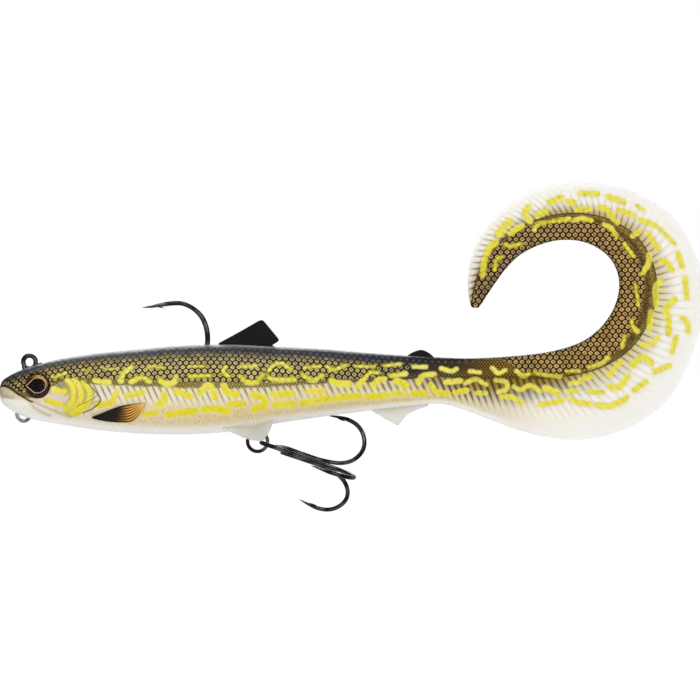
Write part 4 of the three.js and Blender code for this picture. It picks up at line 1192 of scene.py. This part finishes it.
def split_ring(steel):
    """Flat wire in nearly two turns, side by side, with a little space to turn the second over the first."""
    start, sweep, count, pitch = 60, 708, 260, 0.56
    turned = np.linspace(0, sweep, count)
    angle = np.radians(np.linspace(start, start + sweep, count))
    y = pitch * (turned / 360 - sweep / 720)
    path = np.stack([RING_X + RING_RADIUS * np.cos(angle), y, RING_Z + RING_RADIUS * np.sin(angle)], 1)
    wire = merged("split_ring_wire", [tube(path, 0.61, 20, flat=0.27, power=2.0)])
    finish(wire, steel, "split_ring", "split_ring")


def loops(steel):
    """The loop under the chin, and the belly hanger with the eye that holds the split ring."""
    chin = [(13, -11.2), (8, -12.6), (3.4, -14.6), (0.6, -16.6)]
    chin = [(x, 0, z) for x, z in chin] + arc(-2.0, -18.0, 2.3, -22, -180, 9)
    chin += [(x, 0, z) for x, z in [(-3.7, -16.2), (-1.4, -14.2), (3.0, -12.0), (8, -10.0), (13, -8.9)]]
    x, bar = RING_X, BAR_Z
    hanger = [
        (33, 0, -11.5), (42, 0, -14.2), (54, 0, -17.2), (66, 0, -19.2), (73, 0.4, -20.2),
        (x - 1.6, 1.7, bar + 4.2), (x - 0.3, 2.35, bar + 2.6), (x, 2.1, bar + 0.75), (x, 0, bar),
        (x, -2.1, bar + 0.75), (x - 0.1, -2.35, bar + 2.6), (x - 0.4, -1.5, bar + 4.3),
        (x - 0.4, -0.1, bar + 4.9),
    ]
    for node, points in (("chin_loop", chin), ("belly_hanger", hanger)):
        wire = merged(f"{node}_wire", [tube(smooth_path(points, 0.25), LOOP_WIRE / 2, 22)])
        finish(wire, steel, "trunk", node)


# ---- Fins -----------------------------------------------------------------------------------------------

PELVIC_LEAN = math.radians(14)  # outwards from upright
PELVIC_Y, PELVIC_Z = 4.4, -23.1  # the left and right pelvic fins' hinges
PECTORAL_RAYS = 7
TRUNK_END = 12  # the last station at which x still tells how far along the body a point is


def along_line(points, count):
    """That many points, evenly spaced on a smooth line through the given ones."""
    return evened(stroke_points(points, 12), count)


def fin_blade(name, root, rim, thick, rays, relief, place=None, across=90, up=36, slant=None, ink=0.0):
    """A fin from a root line to a rim line. thick is half its thickness at the root, and relief is how high
    its rays stand. That many rays run from line to line, or that many to the millimetre at a slant, in
    degrees below the horizontal. ink is how dark they are."""
    a, b = along_line(root, across), along_line(rim, across)
    v = np.linspace(0, 1, up)
    u = np.linspace(0, 1, across)
    flat = a[None] * (1 - v[:, None, None]) + b[None] * v[:, None, None]
    ray = np.broadcast_to(u[None] * rays, flat.shape[:2])
    if slant is not None:
        lean = math.radians(slant)
        ray = (flat[..., 0] * math.sin(lean) + flat[..., 1] * math.cos(lean)) * rays
    body = thick * (1 - 0.5 * v[:, None])
    ridge = relief * np.cos(2 * np.pi * ray) * smooth(0, 0.15, v)[:, None]
    edges = rounded((1 - v) / 0.06)[:, None] * rounded(np.minimum(u, 1 - u) / 0.03)[None]
    half = np.maximum((body + ridge) * edges, 0.02)
    near = np.stack([flat[..., 0], -half, flat[..., 1]], -1)
    far = np.stack([flat[..., 0], half, flat[..., 1]], -1)
    ring = np.concatenate([near, far[:, ::-1]], axis=1)
    cols = ring.shape[1]
    verts = ring.reshape(-1, 3)
    foot, top = np.arange(cols), (up - 1) * cols + np.arange(cols)
    j = np.arange(across - 1)
    k = 2 * across - 1 - j
    cap = np.stack([top[j], top[k], top[k - 1], top[j + 1]], -1)
    sole = np.stack([foot[j], foot[j + 1], foot[k - 1], foot[k]], -1)
    faces = np.vstack([grid_faces(up, cols, True), cap, sole])
    if b[:, 1].mean() > a[:, 1].mean():
        faces = faces[:, ::-1]
    attributes = {
        "ray": np.concatenate([ray, ray[:, ::-1]], axis=1).ravel() + 0.5,
        "ink": np.full(len(verts), ink),
        "out": np.repeat(v, cols),
        "along": np.tile(np.concatenate([u, u[::-1]]), up),
    }
    if place is not None:
        verts = place(verts)
    return new_mesh(name, verts, [(faces, 4)], attributes)


def fins(black, clear):
    dorsal = fin_blade(
        "dorsal_fin_blade", [(64.6, 5.6), (74.5, 5.5), (84.2, 4.7)],
        [(65.0, 6.5), (70, 9.2), (75, 12.0), (78.3, 13.9), (79.5, 14.3), (80.5, 13.8), (83, 10.8),
         (85.0, 8.4), (85.5, 7.5), (84.9, 6.7), (83.2, 5.9), (84.6, 4.9)], 0.75, 30, 0.05)
    bend = ((75, 0, 5.9), (75.2, 0, 8.4))
    finish(dorsal, black, ("trunk", "dorsal_fin"), "dorsal_fin", bend)
    adipose = fin_blade(
        "adipose_fin_blade", [(129.4, 1.7), (134, 1.5), (138.8, 1.2)],
        [(129.6, 2.2), (131.7, 3.4), (134.3, 4.1), (136.6, 3.3), (138.6, 1.7)], 0.6, 9, 0.04,
        across=50, up=20)
    finish(adipose, black, "rear_body", "adipose_fin")
    anal = fin_blade(
        "anal_fin_blade", [(117.0, -16.0), (126, -15.1), (137, -14.2)],
        [(117.1, -16.7), (121.5, -19.2), (125.9, -21.6), (127.0, -21.1), (129.3, -18.4), (132.5, -16.6),
         (136.6, -15.2)], 0.55, 1.7, 0.03, slant=20, ink=0.6)
    bend = ((126.7, 0, -15.9), (126.5, 0, -18.0))
    finish(anal, clear, ("rear_body", "anal_fin"), "anal_fin", bend)
    for word, side in SIDES:
        lean = side * PELVIC_LEAN
        c, d = math.cos(lean), math.sin(lean)
        turn = np.array([[1, 0, 0], [0, c, -d], [0, d, c]])
        blade = fin_blade(
            f"pelvic_fin_{word}_blade", [(65.6, -21.9), (75, -21.0), (83.4, -19.6)],
            [(66.0, -22.6), (70.5, -24.7), (75.1, -26.6), (79.4, -27.2), (81.0, -26.1), (82.4, -23.4),
             (83.4, -20.7)], 0.45, 1.95, 0.03, slant=32, ink=0.75,
            place=lambda verts: (verts - [0, 0, PELVIC_Z]) @ turn.T + [0, side * PELVIC_Y, PELVIC_Z])
        bend = ((75, side * 4.2, -21.9), (75, side * 4.8, -24.2))
        finish(blade, clear, ("trunk", f"pelvic_fin_{word}"), f"pelvic_fin_{word}", bend)


def trunk_thickness(x, z):
    """Half the trunk's thickness at x and z."""
    s = DENSE[DENSE < TRUNK_END]
    c = columns(s)
    top, bottom, width = (np.interp(x, c[:, 0], c[:, k]) for k in (1, 3, 4))
    t = np.clip((top - z) / (top - bottom), 0, 1)
    return half_thickness(np.interp(x, c[:, 0], s), t, width)


def pectoral_fins(orange):
    """Each pectoral fin is a raised leaf on the flank, from its root to a square rear edge."""
    rows, cols = 40, 90
    upper = along_line([(21.7, -18.9), (25.3, -17.4), (32.1, -14.9), (40.3, -13.9)], cols)
    lower = along_line([(21.7, -19.3), (25.9, -20.3), (31.5, -20.8), (35.6, -20.4), (38.3, -17.6),
                        (40.1, -14.5)], cols)
    u, v = np.linspace(0, 1, cols)[None], np.linspace(0, 1, rows)[:, None]
    flat = upper[None] * (1 - v[..., None]) + lower[None] * v[..., None]
    x, z = flat[..., 0], flat[..., 1]
    skin = trunk_thickness(x, z)
    rays = v * PECTORAL_RAYS
    ends = np.clip((1 - u) / 0.03, 0, 1) * np.clip(u / 0.02, 0, 1)
    lift = (0.75 + 0.35 * u - 0.07 * np.cos(2 * np.pi * rays)) * rounded(np.minimum(v, 1 - v) / 0.08) * ends
    index = np.arange(rows * cols).reshape(rows, cols)
    rim = np.concatenate([index[0], index[1:, -1], index[-1, -2::-1], index[-2:0:-1, 0]])
    n = index.size
    quads = grid_faces(rows, cols, False)
    wall = np.stack([rim, np.roll(rim, -1), np.roll(rim, -1) + n, rim + n], -1)
    attributes = {key: np.tile(np.broadcast_to(value, x.shape).ravel(), 2)
                  for key, value in (("along", u), ("out", v), ("ray", rays))}
    for word, side in SIDES:
        outer, inner = (np.stack([x, side * y, z], -1).reshape(-1, 3) for y in (skin + lift, skin - 0.5))
        faces = np.vstack([quads, quads[:, ::-1] + n, wall])
        if side > 0:
            faces = faces[:, ::-1]
        leaf = new_mesh(f"pectoral_fin_{word}_leaf", np.concatenate([outer, inner]), [(faces, 4)], attributes)
        finish(leaf, orange, "trunk", f"pectoral_fin_{word}")


# ---- Eyes -----------------------------------------------------------------------------------------------


EYE_RADIUS = 4.2
PRINT_DEPTH = 0.6
DOME_GAP = 0.15  # between the printed disc and the clear dome
DOME_RIM = 0.35  # the dome's height at its rim, and in the middle
DOME_HEIGHT = 1.3
EYE_SEAT = 1.0  # how far the printed disc's back lies under the skin


def round_shell(upper, lower, flip):
    """A disc between two surfaces, each a height that depends on the radius."""
    rows, cols = 45, 96
    radius = np.linspace(0, EYE_RADIUS, rows + 1)[1:]
    r, a = np.meshgrid(radius, np.linspace(0, 2 * np.pi, cols, endpoint=False), indexing="ij")
    surfaces = []
    for height in (upper, lower):
        surface = np.stack([r * np.cos(a), height(r), r * np.sin(a)], -1)
        surfaces += [surface.reshape(-1, 3), [0, height(0.0), 0]]
    hub = rows * cols
    n = hub + 1
    ring = np.arange(cols)
    quads = grid_faces(rows, cols, True)
    fan = np.stack([ring, np.roll(ring, -1), np.full(cols, hub)], -1)
    last = (rows - 1) * cols + ring
    wall = np.stack([last, last + n, np.roll(last, -1) + n, np.roll(last, -1)], -1)
    faces = [(np.vstack([quads[:, ::-1], quads + n, wall[:, ::-1]]), 4),
             (np.vstack([fan[:, ::-1], fan + n]), 3)]
    return np.vstack(surfaces), [(f[:, ::-1], k) for f, k in faces] if flip else faces


def eyes(print_mat, resin):
    def level(height):
        return lambda r: height + 0 * np.asarray(r)

    def crown(r):
        bow = np.sqrt(np.clip(1 - (np.asarray(r) / EYE_RADIUS) ** 2, 0, 1))
        return PRINT_DEPTH + DOME_GAP + DOME_RIM + (DOME_HEIGHT - DOME_RIM) * bow

    x, z = EYE_CENTRE
    seat = float(trunk_thickness(x, z)) - EYE_SEAT
    for word, side in SIDES:
        out = np.array(Vector((-0.17, side, 0.1)).normalized())
        ahead = np.array([1, 0, 0]) - out * out[0]
        ahead /= np.linalg.norm(ahead)
        frame_axes = np.stack([ahead, out, np.cross(ahead, out) * side])
        origin = np.array([x, side * seat, z])

        verts, faces = round_shell(level(PRINT_DEPTH), level(0), side < 0)
        u, v = verts[:, 0], verts[:, 2]
        # The pupil: a circle drawn out to a blunt point towards the nose. It is negative inside.
        disc = np.hypot(u * 0.97 - 0.12, v * 1.08 - 0.05) - 2.42
        beak = np.abs(v) * 0.72 - (u + 3.35) * 0.62
        pupil = np.where(u < -0.9, np.maximum(np.minimum(disc, beak), -2.0), disc)
        attributes = {"where": np.stack([u, v, np.hypot(u, v)], 1), "pupil": pupil}
        iris = new_mesh(f"eye_iris_{word}_print", verts @ frame_axes + origin, faces, attributes)
        finish(iris, print_mat, "trunk", f"eye_iris_{word}")
        verts, faces = round_shell(crown, level(PRINT_DEPTH + DOME_GAP), side < 0)
        cover = new_mesh(f"eye_dome_{word}_resin", verts @ frame_axes + origin, faces)
        finish(cover, resin, "trunk", f"eye_dome_{word}")


# ---- Studio ---------------------------------------------------------------------------------------------


# In metres.
FLOOR_Z = -0.075
BOWL_X = 0.11
BOWL_RADIUS = 4.0  # the floor's, before it curves up into the backdrop all round
BOWL_RISE = 1.5  # the curve's radius, and how high it goes
SENSOR = 36  # millimetres
LAMPS = (
    ("key", (-0.1, -1.0, 1.1), 0.7, 12.0),
    ("fill", (0.8, -1.3, 0.3), 1.0, 3.6),
    ("back", (0.15, 1.1, 0.85), 0.9, 12.0),
    ("under", (0.1, -0.6, -0.055), 0.5, 1.2),
)  # name, place, size and watts


def studio_white():
    """The floor and backdrop: an even white to the camera, and a pale surface to the light."""
    mat, tree, shader = material("studio_white", Roughness=0.9, Emission_Color=(1.0, 1.0, 1.0, 1.0))
    seen = Value(tree, tree.nodes.new("ShaderNodeLightPath").outputs["Is Camera Ray"])
    feed(shader, Emission_Strength=seen * 0.88 + 0.12,
         Base_Color=mix_colour(tree, (0.78, 0.78, 0.78), (0.0, 0.0, 0.0), seen))
    return mat


def bowl():
    """A round floor that curves up into the backdrop on every side."""
    count = 96
    profile = [(0.02, FLOOR_Z), (BOWL_RADIUS, FLOOR_Z)]
    profile += [(BOWL_RADIUS + BOWL_RISE * math.sin(a), FLOOR_Z + BOWL_RISE * (1 - math.cos(a)))
                for a in np.linspace(0.1, math.pi / 2, 14)]
    turns = np.linspace(0, 2 * np.pi, count, endpoint=False)
    verts = [(BOWL_X + r * math.cos(a), r * math.sin(a), z) for r, z in profile for a in turns]
    verts.append((BOWL_X, 0, FLOOR_Z))
    ring = np.arange(count)
    middle = np.stack([ring, np.roll(ring, -1), np.full(count, len(verts) - 1)], -1)
    faces = [(grid_faces(len(profile), count, True), 4), (middle, 3)]
    obj = new_mesh("studio_bowl", np.array(verts) / MM, faces)
    obj.data.materials.append(studio_white())


def studio():
    scene = bpy.context.scene
    scene.view_settings.view_transform = "Standard"
    centre = Vector((PICTURE_X, 0, PICTURE_Z)) * MM
    camera = bpy.data.cameras.new("camera")
    camera.sensor_width = SENSOR
    camera.lens = SENSOR * CAMERA_DISTANCE / PICTURE_WIDTH
    camera.clip_start = 0.01
    obj = bpy.data.objects.new("camera", camera)
    obj.location = centre + Vector((0, -CAMERA_DISTANCE, 0))
    obj.rotation_euler = (math.radians(90), 0, 0)
    scene.collection.objects.link(obj)
    scene.camera = obj

    world = bpy.data.worlds.new("studio")
    world.use_nodes = True
    background = world.node_tree.nodes["Background"]
    background.inputs["Color"].default_value = (1, 1, 1, 1)
    background.inputs["Strength"].default_value = 0.22
    scene.world = world
    bowl()

    for name, place, size, power in LAMPS:
        light = bpy.data.lights.new(name, "AREA")
        light.shape = "SQUARE"
        light.size = size
        light.energy = power
        lamp = bpy.data.objects.new(name, light)
        lamp.location = place
        lamp.rotation_euler = (centre - Vector(place)).to_track_quat("-Z", "Y").to_euler()
        scene.collection.objects.link(lamp)


# ---- Assembly -------------------------------------------------------------------------------------------

studio()
build_skin()
nickel, bright = black_steel(), bare_steel()
jig_hook(nickel)
treble(nickel)
split_ring(nickel)
loops(bright)
fins(black_fin(), clear_fin())
pectoral_fins(orange_fin())
eyes(eye_print(), clear_resin())
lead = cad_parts["ballast_weight"]
lead.data.materials.clear()
lead.data.materials.append(lead_metal())
